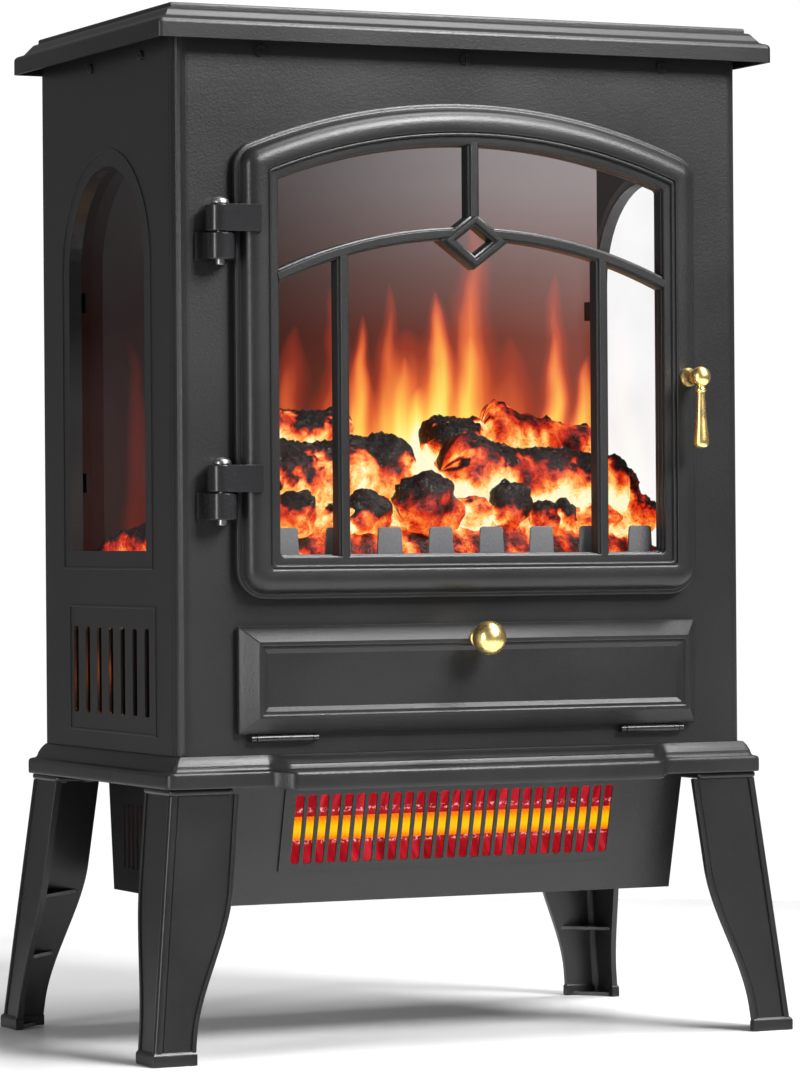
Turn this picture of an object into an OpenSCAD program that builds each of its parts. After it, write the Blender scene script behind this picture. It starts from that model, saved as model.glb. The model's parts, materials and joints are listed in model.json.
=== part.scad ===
// Free-standing electric stove heater: a sheet steel cabinet on four cast legs, with an arched
// glazed door, a drop-down control flap, a flame-effect firebox and a quartz heater box below.
// +X is the stove's right as seen from the front, +Y is its back and +Z is up. Z = 0 is the floor.

/* [Cabinet] */
// Width of the cabinet across its side panels
body_w = 370.4; // [366:0.2:376]
// Depth of the cabinet from its front face to its back face
body_d = 215.6; // [212:0.2:220]
// Height of the base plate's top, where the cabinet walls stand
deck_z = 175.7; // [174:0.1:177]
// Height of the underside of the top cover
cover_z = 588.7; // [586:0.1:592]
// Thickness of the sheet steel panels
sheet = 1.5; // [1.2:0.1:1.6]
// Outside radius of the front panel's bent corners
bend_r = 8; // [6:0.5:10]

/* [Top cover] */
// Height of the top cover, from its lower edge to its top face
cover_h = 21.3; // [20:0.1:23]
// How far the top cover stands out over each side panel
cover_side = 15.9; // [14:0.1:18]
// How far the top cover stands out over the front panel
cover_front = 14.7; // [13:0.1:17]
// How far the top cover stands out over the back panel
cover_back = 8.9; // [8:0.1:10]
// Wall thickness of the top cover
cover_skin = 2; // [1.6:0.1:2.2]

/* [Base plate and legs] */
// How far the base plate stands out beyond each side panel
plate_side = 10.35; // [9:0.05:12]
// How far the base plate stands out beyond the front panel, at its ends
plate_front = 6.2; // [5.5:0.1:8]
// How far the base plate stands out beyond the back panel
plate_back = 9.25; // [8:0.05:10]
// How much further the base plate's bowed middle stands out
bow_out = 12; // [8:0.5:14]
// Height of the base plate's lower edge above the floor
plate_z = 157.4; // [156:0.1:159]
// How far the outer corner of each foot stands out beyond the side panel
foot_side = 24.4; // [22:0.1:26]
// How far the outer corner of each front foot stands out beyond the front panel
foot_front = 17; // [16:0.1:18]
// How far the outer corner of each back foot stands out beyond the back panel
foot_back = 20.1; // [19:0.1:21]

/* [Door] */
// Half the width of the door
door_hw = 151; // [149:0.5:153]
// Height of the door's bottom edge
door_z = 266; // [264:0.5:268]
// Radius of the door's arched top edge
door_r = 382; // [380:0.5:384]
// Height of the centre that all the door's arches share
arch_z = 175.4; // [174:0.1:177]
// Width of the door frame's stiles and rails
stile = 24.5; // [23:0.5:26]
// Thickness of the door frame
door_t = 13; // [12:0.5:14]
// Width of the tracery bars over the glass
bar_w = 7.6; // [6:0.2:9]

/* [Side windows] */
// Half the width of each side window
win_hw = 61; // [58:0.5:62]
// Height of each side window's sill
win_z = 294.5; // [293:0.5:297]
// Height of the top of each side window's arch
win_top = 524; // [520:0.5:528]
// Depth of the reveal between the side panel and its glass
reveal = 8; // [6:0.5:10]

/* [Control flap] */
// Half the width of the control flap
flap_hw = 150; // [148:0.5:152]
// Height of the flap's bottom edge
flap_z = 188; // [187:0.5:190]
// Height of the flap's top edge
flap_top = 250.5; // [249:0.5:253]
// How far the brass knob and handle reach in front of the cabinet
knob_reach = 38; // [37:0.5:39]

/* [Heater box] */
// Half the width of the heater box under the base plate
heat_hw = 152; // [150:0.5:152]
// Height of the heater box's floor above the ground
heat_z = 86; // [84:0.5:90]
// Number of slots in the heater's grille
heat_slots = 27; // [21:2:27]

/* [Hidden] */
$fn = 48;

// Colours
black_paint = [0.16, 0.16, 0.165];
black_iron = [0.1, 0.1, 0.105];
brass = [0.86, 0.7, 0.26];
steel = [0.7, 0.71, 0.72];
black_plastic = [0.07, 0.07, 0.075];
clear_glass = [0.75, 0.85, 0.88, 0.35];
ceramic = [0.92, 0.9, 0.86];
ember_orange = [0.95, 0.35, 0.08];
char_brown = [0.25, 0.13, 0.09];

// The whole object's box is centred on Y = 0: the knobs reach forward and the back feet reach back
cab_y = (knob_reach - foot_back) / 2;
front_y = cab_y - body_d / 2;
back_y = cab_y + body_d / 2;
side_x = body_w / 2;
wall_top = cover_z + 10;
seam_y = front_y + 10;
seam_gap = 0.4;
cut = 1;

// Inner layout, in heights and in depths behind the front face
floor_z = 288;
screen_y = front_y + 181.8;
screen_t = 3;
glass_t = 3;
door_back = 3;
door_front = door_back + door_t;
window_y = cab_y + 3;
window_spring = win_top - win_hw;

// Points along an arc, ends included
function arc(cx, cy, r, a0, a1, n = 8) =
    [for (i = [0:n]) let (a = a0 + (a1 - a0) * i / n) [cx + r * cos(a), cy + r * sin(a)]];

// The same arc without its two end points
function inner_arc(cx, cy, r, a0, a1, n = 8) =
    [for (i = [1:n - 1]) let (a = a0 + (a1 - a0) * i / n) [cx + r * cos(a), cy + r * sin(a)]];

// Flat-bottomed outline with an arched top: half width w, bottom zb, arch radius ar about height az,
// bottom corner radius rb and top corner radius rt
function arched(w, zb, ar, az, rb, rt) =
    let (fz = az + sqrt(pow(ar - rt, 2) - pow(w - rt, 2)))
    let (a = atan2(fz - az, w - rt))
    concat(
        arc(w - rb, zb + rb, rb, -90, 0, 6),
        arc(w - rt, fz, rt, 0, a, 6),
        inner_arc(0, az, ar, a, 180 - a, 24),
        arc(rt - w, fz, rt, 180 - a, 180, 6),
        arc(rb - w, zb + rb, rb, 180, 270, 6)
    );

// Outline of the door inset by d, and of a side window grown by d
function door_outline(d) =
    arched(door_hw - d, door_z + d, door_r - d, arch_z, max(18 - d, 1.5), max(14 - d, 1.5));
function window_outline(d) =
    concat(
        [[-win_hw - d, win_z - d], [win_hw + d, win_z - d]],
        arc(0, window_spring, win_hw + d, 0, 180, 24)
    );

// Rectangle from one corner to the other
function rect(x0, y0, x1, y1) = [[x0, y0], [x1, y0], [x1, y1], [x0, y1]];

// Rectangle with round corners
function round_rect(x0, y0, x1, y1, r) =
    concat(
        arc(x1 - r, y0 + r, r, -90, 0, 4),
        arc(x1 - r, y1 - r, r, 0, 90, 4),
        arc(x0 + r, y1 - r, r, 90, 180, 4),
        arc(x0 + r, y0 + r, r, 180, 270, 4)
    );

// Smooth step from 0 to 1
function smooth(s) = let (c = max(0, min(1, s))) c * c * (3 - 2 * c);

// Extrude an outline in X and Z from t0 to t1 in front of the cabinet's front face
module front_slab(t0, t1) {
    translate([0, front_y - t0, 0])
        rotate([90, 0, 0])
            linear_extrude(height = t1 - t0)
                children();
}

// Extrude an outline in Y and Z from x0 to x1
module side_slab(x0, x1) {
    translate([x0, 0, 0])
        rotate([90, 0, 90])
            linear_extrude(height = x1 - x0)
                children();
}

// Cylinder along X or along Y, from one end to the other
module rod_x(x0, x1, y, z, r) {
    translate([x0, y, z])
        rotate([0, 90, 0])
            cylinder(h = x1 - x0, r = r);
}
module rod_y(x, y0, y1, z, r) {
    translate([x, y0, z])
        rotate([-90, 0, 0])
            cylinder(h = y1 - y0, r = r);
}

// Box from its low corner to its high corner
module box(lo, hi) {
    translate(lo)
        cube(hi - lo);
}

// ---- Top cover ----

// Half profile of the cover's edge: inset from its outer edge, and height above its lower edge
cover_profile = concat(
    [[0, 0], [0, 8.3]],
    inner_arc(3, 8.3, 3, 180, 90, 5),
    [[3, 11.3], [5, 12.1], [9.5, 17.4], [10.5, 18.1], [12.2, 18.3], [12.2, cover_h - 0.8]],
    [[13, cover_h]]
);

// Both edges of one cross section, shrunk by s all over
function cover_section(lo, hi, s) =
    concat(
        [for (p = cover_profile) [lo + p[0] + s, cover_z + max(p[1] - s, -s)]],
        [for (i = [len(cover_profile) - 1:-1:0])
            let (p = cover_profile[i]) [hi - p[0] - s, cover_z + max(p[1] - s, -s)]]
    );

module cover_solid(s) {
    x1 = side_x + cover_side;
    intersection() {
        side_slab(-x1 - cut, x1 + cut)
            polygon(cover_section(front_y - cover_front, back_y + cover_back, s));
        translate([0, back_y + cover_back + cut, 0])
            rotate([90, 0, 0])
                linear_extrude(height = body_d + cover_front + cover_back + 2 * cut)
                    polygon(cover_section(-x1, x1, s));
    }
}

cover_screw_x = [-132, 0, 132];
cover_screw_y = [cab_y - 57, cab_y + 24];
cover_screw_z = cover_z - 4.5;
screw_r = 1.6;
lug_t = 4;
lug_w = 16;
lug_z = cover_screw_z - 5;

module top_cover() {
    lug_top = cover_z + cover_h - cover_skin / 2;
    color(black_paint)
        difference() {
            union() {
                difference() {
                    cover_solid(0);
                    cover_solid(cover_skin);
                }
                for (x = cover_screw_x)
                    box([x - lug_w / 2, front_y + sheet, lug_z],
                        [x + lug_w / 2, front_y + sheet + lug_t, lug_top]);
                for (y = cover_screw_y)
                    for (m = [0, 1])
                        mirror([m, 0, 0])
                            box([side_x - sheet - lug_t, y - lug_w / 2, lug_z],
                                [side_x - sheet, y + lug_w / 2, lug_top]);
            }
            for (x = cover_screw_x)
                rod_y(x, front_y, front_y + 8, cover_screw_z, screw_r);
            for (y = cover_screw_y)
                rod_x(-side_x, side_x, y, cover_screw_z, screw_r);
        }
}

// Pan-head screw along +Z, its head's underside at Z = 0
module screw(length) {
    difference() {
        cylinder(h = 1.7, r = 3.2);
        for (a = [0, 90])
            rotate([0, 0, a])
                translate([-2, -0.35, 1])
                    cube([4, 0.7, 1]);
    }
    translate([0, 0, -length])
        cylinder(h = length, r = screw_r);
}

module cover_screws() {
    color(black_iron) {
        for (x = cover_screw_x)
            translate([x, front_y, cover_screw_z])
                rotate([90, 0, 0])
                    screw(5);
        for (y = cover_screw_y)
            for (m = [0, 1])
                mirror([m, 0, 0])
                    translate([side_x, y, cover_screw_z])
                        rotate([0, 90, 0])
                            screw(5);
    }
}

// ---- Cabinet panels ----

// Plan of the bent front panel's outer or inner face, set in by d
function front_bend(d, y_end) =
    concat(
        [[side_x - d, y_end]],
        arc(side_x - bend_r, front_y + bend_r, bend_r - d, 0, -90, 8),
        arc(bend_r - side_x, front_y + bend_r, bend_r - d, -90, -180, 8),
        [[d - side_x, y_end]]
    );

fire_hw = 134;
fire_z = 288;
fire_r = 364;
control_hw = 142;
control_z0 = 194;
control_z1 = 246;

module front_panel() {
    color(black_paint)
        difference() {
            translate([0, 0, deck_z])
                linear_extrude(height = wall_top - deck_z)
                    difference() {
                        polygon(front_bend(0, seam_y));
                        polygon(front_bend(sheet, seam_y + cut));
                    }
            front_slab(-sheet - cut, cut)
                polygon(arched(fire_hw, fire_z, fire_r, arch_z, 4, 4));
            front_slab(-sheet - cut, cut)
                polygon(rect(-control_hw, control_z0, control_hw, control_z1));
            for (x = cover_screw_x)
                rod_y(x, front_y - cut, front_y + sheet + cut, cover_screw_z, screw_r);
        }
}

louvre_count = 7;
louvre_pitch = 19;
louvre_w = 7;
louvre_z0 = 197;
louvre_z1 = 249;
louvre_y = cab_y - 1;
emboss = 0.6;
emboss_w = 1.4;

module side_panel() {
    bead = 11;
    frame_lo = cab_y - 73;
    frame_hi = cab_y + 66;
    frame_z0 = 186;
    frame_z1 = 262;
    color(black_paint)
        difference() {
            union() {
                side_slab(-side_x, -side_x + sheet)
                    polygon(rect(seam_y + seam_gap, deck_z, back_y, wall_top));
                side_slab(-side_x, -side_x + reveal)
                    translate([window_y, 0])
                        polygon(window_outline(sheet));
                side_slab(-side_x - emboss, -side_x)
                    translate([window_y, 0])
                        difference() {
                            polygon(window_outline(bead));
                            polygon(window_outline(bead - emboss_w));
                        }
                side_slab(-side_x - emboss, -side_x)
                    difference() {
                        polygon(rect(frame_lo, frame_z0, frame_hi, frame_z1));
                        polygon(rect(frame_lo + emboss_w, frame_z0 + emboss_w,
                            frame_hi - emboss_w, frame_z1 - emboss_w));
                    }
            }
            side_slab(-side_x - cut, -side_x + reveal + cut)
                translate([window_y, 0])
                    polygon(window_outline(0));
            for (i = [0:louvre_count - 1])
                side_slab(-side_x - cut, -side_x + sheet + cut)
                    translate([louvre_y + (i - (louvre_count - 1) / 2) * louvre_pitch, 0])
                        polygon(round_rect(-louvre_w / 2, louvre_z0, louvre_w / 2, louvre_z1, 2));
            for (y = cover_screw_y)
                rod_x(-side_x - cut, -side_x + sheet + cut, y, cover_screw_z, screw_r);
        }
}

module left_side_panel() {
    side_panel();
}

module right_side_panel() {
    mirror([1, 0, 0])
        side_panel();
}

// Back panel, its vents and the cord's entry
back_x = side_x - sheet;
back_flange = 8;
cord_x = 120;
cord_z = 205;
bush_r = 8;
cord_bore_r = 4.2;
back_screw_x = [-170, 0, 170];
back_screw_z = [184, 380, 576];
vent_rows = 9;

module back_panel() {
    color(black_paint)
        difference() {
            union() {
                box([-back_x, back_y - sheet, deck_z], [back_x, back_y, wall_top]);
                for (m = [0, 1])
                    mirror([m, 0, 0])
                        box([back_x - sheet, back_y - back_flange, deck_z],
                            [back_x, back_y - sheet, wall_top]);
            }
            for (i = [0:vent_rows - 1])
                for (x = [-70, 70])
                    translate([x, 0, 0])
                        translate([0, back_y + cut, 0])
                            rotate([90, 0, 0])
                                linear_extrude(height = sheet + 2 * cut)
                                    polygon(round_rect(-45, 500 + 8 * i, 45, 503.6 + 8 * i, 1.7));
            rod_y(cord_x, back_y - sheet - cut, back_y + cut, cord_z, bush_r);
            for (x = back_screw_x)
                for (z = back_screw_z)
                    rod_y(x, back_y - sheet - cut, back_y + cut, z, screw_r);
        }
}

module back_screws() {
    color(black_iron)
        for (x = back_screw_x)
            for (z = back_screw_z)
                translate([x, back_y, z])
                    rotate([-90, 0, 0])
                        screw(5);
}

module cord_bush() {
    color(black_plastic)
        translate([cord_x, back_y, cord_z])
            rotate([-90, 0, 0])
                difference() {
                    union() {
                        cylinder(h = 2, r = bush_r + 2.5);
                        translate([0, 0, -sheet])
                            cylinder(h = sheet, r = bush_r);
                        translate([0, 0, -8])
                            cylinder(h = 8 - sheet, r = bush_r + 1);
                    }
                    translate([0, 0, -9])
                        cylinder(h = 12, r = cord_bore_r);
                }
}

// ---- Base plate and legs ----

// Plan of the base plate when its edge stands out by f times its full overhang
bow_hw = 132;
bow_s = 14;
function bow_side(f) =
    [for (i = [0:8])
        [bow_hw - bow_s * i / 8, front_y - f * plate_front - f * bow_out * (1 - cos(22.5 * i)) / 2]];
function plate_outline(f) =
    let (x = side_x + f * plate_side)
    let (y0 = front_y - f * plate_front)
    let (y1 = back_y + f * plate_back)
    let (r = 1 + 4 * f)
    let (s = bow_side(f))
    concat(
        arc(x - r, y1 - r, r, 90, 0, 4),
        arc(x - r, y0 + r, r, 0, -90, 4),
        s,
        [for (i = [8:-1:0]) [-s[i][0], s[i][1]]],
        arc(r - x, y0 + r, r, -90, -180, 4),
        arc(r - x, y1 - r, r, 180, 90, 4)
    );

// Steps of the moulded edge: fraction of the overhang, bottom and top below the deck
plate_steps = [
    [0.12, 2, 0], [0.3, 4, 2], [0.46, 7, 4], [0.58, 9, 7], [0.92, 11.3, 9],
    [1, deck_z - plate_z, 11.3]
];
deck_t = 2.5;
rim_t = 3;
pad_w = 40;
pad_d = 40;
pad_t = 5;

module base_plate() {
    x1 = side_x + plate_side;
    y0 = front_y - plate_front;
    y1 = back_y + plate_back;
    color(black_paint)
        difference() {
            union() {
                for (s = plate_steps)
                    translate([0, 0, deck_z - s[1]])
                        linear_extrude(height = s[1] - s[2])
                            polygon(plate_outline(s[0]));
                translate([0, 0, plate_z - 2])
                    linear_extrude(height = 2 + cut)
                        intersection() {
                            polygon(plate_outline(1));
                            polygon(rect(-bow_hw + 2, y0 - 2 * bow_out, bow_hw - 2, y0 + rim_t));
                        }
            }
            box([-side_x + 2, front_y + 2, plate_z + pad_t], [side_x - 2, back_y - 2, deck_z - deck_t]);
            box([rim_t - x1 + pad_w, y0 + rim_t, plate_z - cut],
                [x1 - rim_t - pad_w, y1 - rim_t, plate_z + pad_t + cut]);
            box([rim_t - x1, y0 + rim_t + pad_d, plate_z - cut],
                [x1 - rim_t, y1 - rim_t - pad_d, plate_z + pad_t]);
            box([-100, cab_y - 10, deck_z - deck_t - cut], [100, cab_y + 50, deck_z + cut]);
            for (p = leg_screw_points)
                translate([p[0], p[1], plate_z - cut])
                    cylinder(h = pad_t + 2 * cut, r = screw_r);
        }
}

// Legs: the outer corner of each leg runs straight from under the base plate to its foot
leg_inset = 2.6;
leg_step = 1.3;
collar_h = 3.9;
collar_w = 40;
collar_d = 42;
leg_top = plate_z - collar_h;
leg_wall = 3;
foot_h = 8;
foot_lip = 1;
foot_w = 27;
foot_d = 27.5;
foot_wall = 5;
flange_x = [25, 42];
flange_y = [25.5, 39.5];
leg_rib_z = [82, 44];
leg_x = side_x + plate_side - leg_inset;
leg_y_front = front_y - plate_front + leg_inset;
leg_y_back = back_y + plate_back - leg_inset;
leg_screw_points = [
    for (sx = [-1, 1])
        for (side = [0, 1])
            for (k = [12, 30])
                [sx * (leg_x - k), side == 0 ? leg_y_front + 20 : leg_y_back - 20]
];

// Width of a leg's flange at height z: narrow at the foot, wide at the top
function flange_w(z, low, high) = low + (high - low) * smooth((z - 15) / 85);

// A flange's outline: its outer edge leans out with slope m
function flange_outline(low, high, m) =
    concat(
        [for (i = [0:1]) let (z = i == 0 ? leg_top : -8) [(leg_top - z) * m + 1.5, z]],
        [for (i = [0:16])
            let (z = -8 + (leg_top + 8) * i / 16) [(leg_top - z) * m - flange_w(z, low, high), z]]
    );

// The foot's plan: an angle with its outer corner at the origin
foot_angle = [
    [0, 0], [-foot_w, 0], [-foot_w, -foot_wall], [-foot_wall, -foot_wall], [-foot_wall, -foot_d], [0, -foot_d]
];

// One leg, with its outer corner's top at the origin in plan and its outer faces towards +X and +Y
module leg_shape(dx, dy) {
    mx = dx / leg_top;
    my = dy / leg_top;
    ax = atan(mx);
    ay = atan(my);
    big = 300;
    color(black_iron) {
        difference() {
            union() {
                intersection() {
                    union() {
                        translate([0, 0, leg_top])
                            rotate([ay, 0, 0])
                                translate([0, 0, -leg_top])
                                    rotate([90, 0, 0])
                                        linear_extrude(height = leg_wall)
                                            polygon(flange_outline(flange_x[0], flange_x[1], mx));
                        translate([0, 0, leg_top])
                            rotate([0, -ax, 0])
                                translate([-leg_wall, 0, -leg_top])
                                    rotate([90, 0, 90])
                                        linear_extrude(height = leg_wall)
                                            polygon(flange_outline(flange_y[0], flange_y[1], my));
                        for (z = leg_rib_z)
                            translate([(leg_top - z) * mx, (leg_top - z) * my, z])
                                linear_extrude(height = 2)
                                    polygon([
                                        [1, 1],
                                        [1 - flange_w(z, flange_x[0], flange_x[1]), 1],
                                        [1, 1 - flange_w(z, flange_y[0], flange_y[1])]
                                    ]);
                    }
                    translate([0, 0, leg_top])
                        rotate([ay, 0, 0])
                            box([-big, -big, -big], [big, 0, big]);
                    translate([0, 0, leg_top])
                        rotate([0, -ax, 0])
                            box([-big, -big, -big], [0, big, big]);
                    box([-big, -big, 0], [big, big, leg_top + 0.5]);
                }
                linear_extrude(height = foot_h)
                    translate([dx + foot_lip, dy + foot_lip])
                        polygon(foot_angle);
                linear_extrude(height = 2.5)
                    translate([dx - 2, dy - 2])
                        polygon([[0, 0], [3 - foot_w, 0], [0, 3 - foot_d]]);
                box([leg_step - collar_w, leg_step - collar_d, leg_top], [leg_step, leg_step, plate_z]);
            }
            for (k = [12, 30])
                translate([leg_step - k, leg_step - 20, leg_top - cut])
                    cylinder(h = collar_h + 2 * cut, r = screw_r);
        }
    }
}

// Places a leg at one corner: sx and sy are the signs of its outer directions
module place_leg(sx, sy) {
    edge_y = sy < 0 ? leg_y_front : leg_y_back;
    reach_x = side_x + foot_side - foot_lip - (leg_x - leg_step);
    reach_y = sy < 0
        ? (leg_y_front + leg_step) - (front_y - foot_front + foot_lip)
        : (back_y + foot_back - foot_lip) - (leg_y_back - leg_step);
    translate([sx * (leg_x - leg_step), edge_y - sy * leg_step, 0])
        mirror([sx < 0 ? 1 : 0, 0, 0])
            mirror([0, sy < 0 ? 1 : 0, 0])
                leg_shape(reach_x, reach_y);
}

module leg_front_left() {
    place_leg(-1, -1);
}

module leg_front_right() {
    place_leg(1, -1);
}

module leg_back_left() {
    place_leg(-1, 1);
}

module leg_back_right() {
    place_leg(1, 1);
}

module leg_screws() {
    color(steel)
        for (p = leg_screw_points)
            translate([p[0], p[1], leg_top])
                rotate([180, 0, 0])
                    screw(collar_h + pad_t);
}

// ---- Side windows ----

glass_x = side_x - reveal;
glass_lap = 6;

module window_glass() {
    color(clear_glass)
        side_slab(-glass_x, -glass_x + glass_t)
            translate([window_y, 0])
                polygon(window_outline(glass_lap));
}

module left_window_glass() {
    window_glass();
}

module right_window_glass() {
    mirror([1, 0, 0])
        window_glass();
}

// Z-shaped clips that hold each window's glass against its reveal
module window_clips() {
    clip_w = 12;
    clip_z = [330, 440];
    edge = win_hw + glass_lap;
    color(black_iron)
        for (m = [0, 1])
            mirror([m, 0, 0])
                for (s = [-1, 1])
                    for (z = clip_z) {
                        y_in = window_y + s * (edge - 5);
                        y_out = window_y + s * (edge + 3);
                        y_face = window_y + s * (edge + 1);
                        y_lo = min(y_out, y_face);
                        y_hi = max(y_out, y_face);
                        box([-side_x + sheet, y_lo, z], [-glass_x + glass_t + 1.2, y_hi, z + clip_w]);
                        box([-glass_x + glass_t, min(y_in, y_face), z],
                            [-glass_x + glass_t + 1.2, max(y_in, y_face), z + clip_w]);
                    }
}

// ---- Firebox ----

firebox_x = side_x - sheet;
bed_x0 = -140;
bed_x1 = 150;

module firebox_floor() {
    led_y0 = cab_y - 30;
    led_y1 = cab_y + 30;
    color(black_iron)
        difference() {
            union() {
                box([-firebox_x, front_y + bend_r, floor_z - sheet], [firebox_x, back_y - 14.2, floor_z]);
                box([bend_r - side_x, front_y + sheet + 2, floor_z - sheet],
                    [side_x - bend_r, front_y + bend_r + cut, floor_z]);
                for (m = [0, 1])
                    mirror([m, 0, 0])
                        box([firebox_x - 1, front_y + 16, floor_z - 14],
                            [firebox_x, back_y - 20, floor_z - sheet]);
            }
            box([-125, led_y0, floor_z - sheet - cut], [125, led_y1, floor_z + cut]);
        }
}

module led_board() {
    color([0.1, 0.35, 0.2]) {
        box([-120, cab_y - 12, floor_z - 12], [120, cab_y + 12, floor_z - 10.4]);
        for (x = [-110, 110])
            box([x - 4, cab_y - 36, floor_z - 10.4], [x + 4, cab_y - 30.5, floor_z - sheet]);
        for (x = [-110, 110])
            box([x - 4, cab_y - 36, floor_z - 12], [x + 4, cab_y - 12, floor_z - 10.4]);
    }
    color("white")
        for (i = [0:7])
            box([-108 + 30 * i, cab_y - 2.5, floor_z - 10.4], [-103 + 30 * i, cab_y + 2.5, floor_z - 8.8]);
}

module flame_screen() {
    color([0.55, 0.4, 0.36])
        box([-firebox_x + 0.5, screen_y, floor_z], [firebox_x - 0.5, screen_y + screen_t, cover_z - 4]);
}

// Moulded bed of embers: a low mound whose ends slope down
module ember_bed() {
    color(ember_orange)
        translate([0, screen_y - 6, 0])
            rotate([90, 0, 0])
                linear_extrude(height = screen_y - 6 - (front_y + 14))
                    polygon([
                        [bed_x0, floor_z], [bed_x1, floor_z], [bed_x1 - 12, floor_z + 22],
                        [70, floor_z + 30], [0, floor_z + 32], [-80, floor_z + 30],
                        [bed_x0 + 14, floor_z + 20]
                    ]);
}

// Logs: two ends in X, depth behind the front face, height, and a radius
logs = [
    [[-128, 112, 336], [-42, 128, 350], 19],
    [[-30, 125, 340], [104, 140, 352], 20],
    [[-112, 52, 334], [-18, 74, 330], 17],
    [[4, 50, 331], [86, 66, 336], 17],
    [[64, 84, 366], [134, 60, 346], 13]
];

module log_set() {
    color(char_brown)
        difference() {
            for (g = logs) {
                a = [g[0][0], front_y + g[0][1], g[0][2]];
                d = [g[1][0], front_y + g[1][1], g[1][2]] - a;
                translate(a)
                    rotate([0, acos(d[2] / norm(d)), atan2(d[1], d[0])])
                        cylinder(h = norm(d), r = g[2], $fn = 24);
            }
            ember_bed();
        }
}

// Low fence behind the door's glass: a strip with round-topped tabs
module grate_fence() {
    tab_w = 17;
    tab_pitch = 33.35;
    tab_top = 307.5;
    color([0.35, 0.35, 0.36])
        front_slab(-2 * sheet, -sheet) {
            polygon(rect(-138, fire_z - 14, 138, fire_z + 3));
            for (i = [0:7])
                translate([(i - 3.5) * tab_pitch, 0])
                    polygon(concat(
                        [[-tab_w / 2, fire_z], [tab_w / 2, fire_z]],
                        arc(tab_w / 2 - 3, tab_top - 2, 2, 0, 90, 4),
                        arc(3 - tab_w / 2, tab_top - 2, 2, 90, 180, 4)
                    ));
        }
}

// ---- Flame-effect drive, behind the screen ----

flick_y = screen_y + 17;
flick_z = 330;
flick_r = 2;
run_gap = 0.05;
flick_x0 = -158;
flick_x1 = 158;

module flicker_motor() {
    color(steel)
        difference() {
            union() {
                box([-180, flick_y - 13, flick_z - 18], [-162, flick_y + 13, flick_z + 18]);
                box([-162, flick_y - 10, flick_z - 10], [-150, flick_y + 10, flick_z + 10]);
                box([-firebox_x, flick_y - 8, flick_z - 6], [-180, flick_y + 8, flick_z + 6]);
            }
            rod_x(flick_x0 - 0.5, -149, flick_y, flick_z, flick_r + run_gap);
        }
}

module flicker_bearing() {
    color(steel)
        difference() {
            union() {
                box([150, flick_y - 8, flick_z - 14], [153, flick_y + 8, flick_z + 9]);
                box([150, flick_y - 8, flick_z - 14], [firebox_x, flick_y + 8, flick_z - 11]);
            }
            rod_x(149, 154, flick_y, flick_z, flick_r + run_gap);
        }
}

module flicker_rod() {
    vane_count = 12;
    vane_l = 14;
    vane_h = 11;
    color(steel) {
        rod_x(flick_x0, flick_x1, flick_y, flick_z, flick_r);
        for (i = [0:vane_count - 1])
            translate([(i - (vane_count - 1) / 2) * 23, flick_y, flick_z])
                rotate([60 * i, 0, 0])
                    box([-vane_l / 2, -0.4, -vane_h], [vane_l / 2, 0.4, vane_h]);
    }
}

// ---- Controls, in a tray behind the flap ----

tray_t = 30;
tray_hw = 143.5;
tray_z0 = 192.5;
tray_z1 = 247.5;
control_mid = (control_z0 + control_z1) / 2;
switch_x = [-95, -55];
thermostat_x = 20;
dimmer_x = 85;
switch_hw = 8;
switch_hh = 12;
stem_r = 3;

// Rectangle about a switch's middle
function switch_outline(x, hw, hh) = rect(x - hw, control_mid - hh, x + hw, control_mid + hh);

module control_plate() {
    color(black_paint)
        difference() {
            union() {
                front_slab(-tray_t, -tray_t + sheet)
                    polygon(rect(-tray_hw, tray_z0, tray_hw, tray_z1));
                front_slab(-tray_t, -sheet)
                    difference() {
                        polygon(rect(-tray_hw, tray_z0, tray_hw, tray_z1));
                        polygon(rect(-tray_hw + sheet, tray_z0 + sheet, tray_hw - sheet, tray_z1 - sheet));
                    }
            }
            for (x = switch_x)
                front_slab(-tray_t - cut, -tray_t + sheet + cut)
                    polygon(switch_outline(x, switch_hw, switch_hh));
            for (x = [thermostat_x, dimmer_x])
                rod_y(x, front_y + tray_t - sheet - cut, front_y + tray_t + cut, control_mid, 5);
        }
}

// Rocker switch body, its rocker's axle at the origin
rocker_hw = 6;
rocker_axle_r = 1;
module switch_body(x) {
    face = -tray_t + sheet;
    axle_y = front_y - face + 2;
    color(black_plastic)
        difference() {
            union() {
                front_slab(face - 19, face)
                    polygon(switch_outline(x, switch_hw, switch_hh));
                front_slab(face, face + 1.2)
                    polygon(round_rect(x - 9.5, control_mid - 13.5, x + 9.5, control_mid + 13.5, 1.5));
            }
            front_slab(face - 8, face + 2)
                polygon(switch_outline(x, rocker_hw + 0.4, 10.6));
            rod_x(x - 7.8, x + 7.8, axle_y, control_mid, rocker_axle_r + run_gap);
        }
}

// Two-position rocker, shown with its lower half pressed in
module rocker(x) {
    face = -tray_t + sheet;
    axle_y = front_y - face + 2;
    rest_tilt = 8;
    color(black_plastic)
        translate([0, axle_y, control_mid])
            rotate([rest_tilt, 0, 0]) {
                side_slab(x - rocker_hw, x + rocker_hw)
                    polygon([[3, -6], [3, 6], [-4.5, 9.4], [-3.4, 0], [-4.5, -9.4]]);
                rod_x(x - 7.6, x + 7.6, 0, 0, rocker_axle_r);
            }
}

module power_switch_body() {
    switch_body(switch_x[0]);
}

module heat_switch_body() {
    switch_body(switch_x[1]);
}

module power_rocker() {
    rocker(switch_x[0]);
}

module heat_rocker() {
    rocker(switch_x[1]);
}

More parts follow.
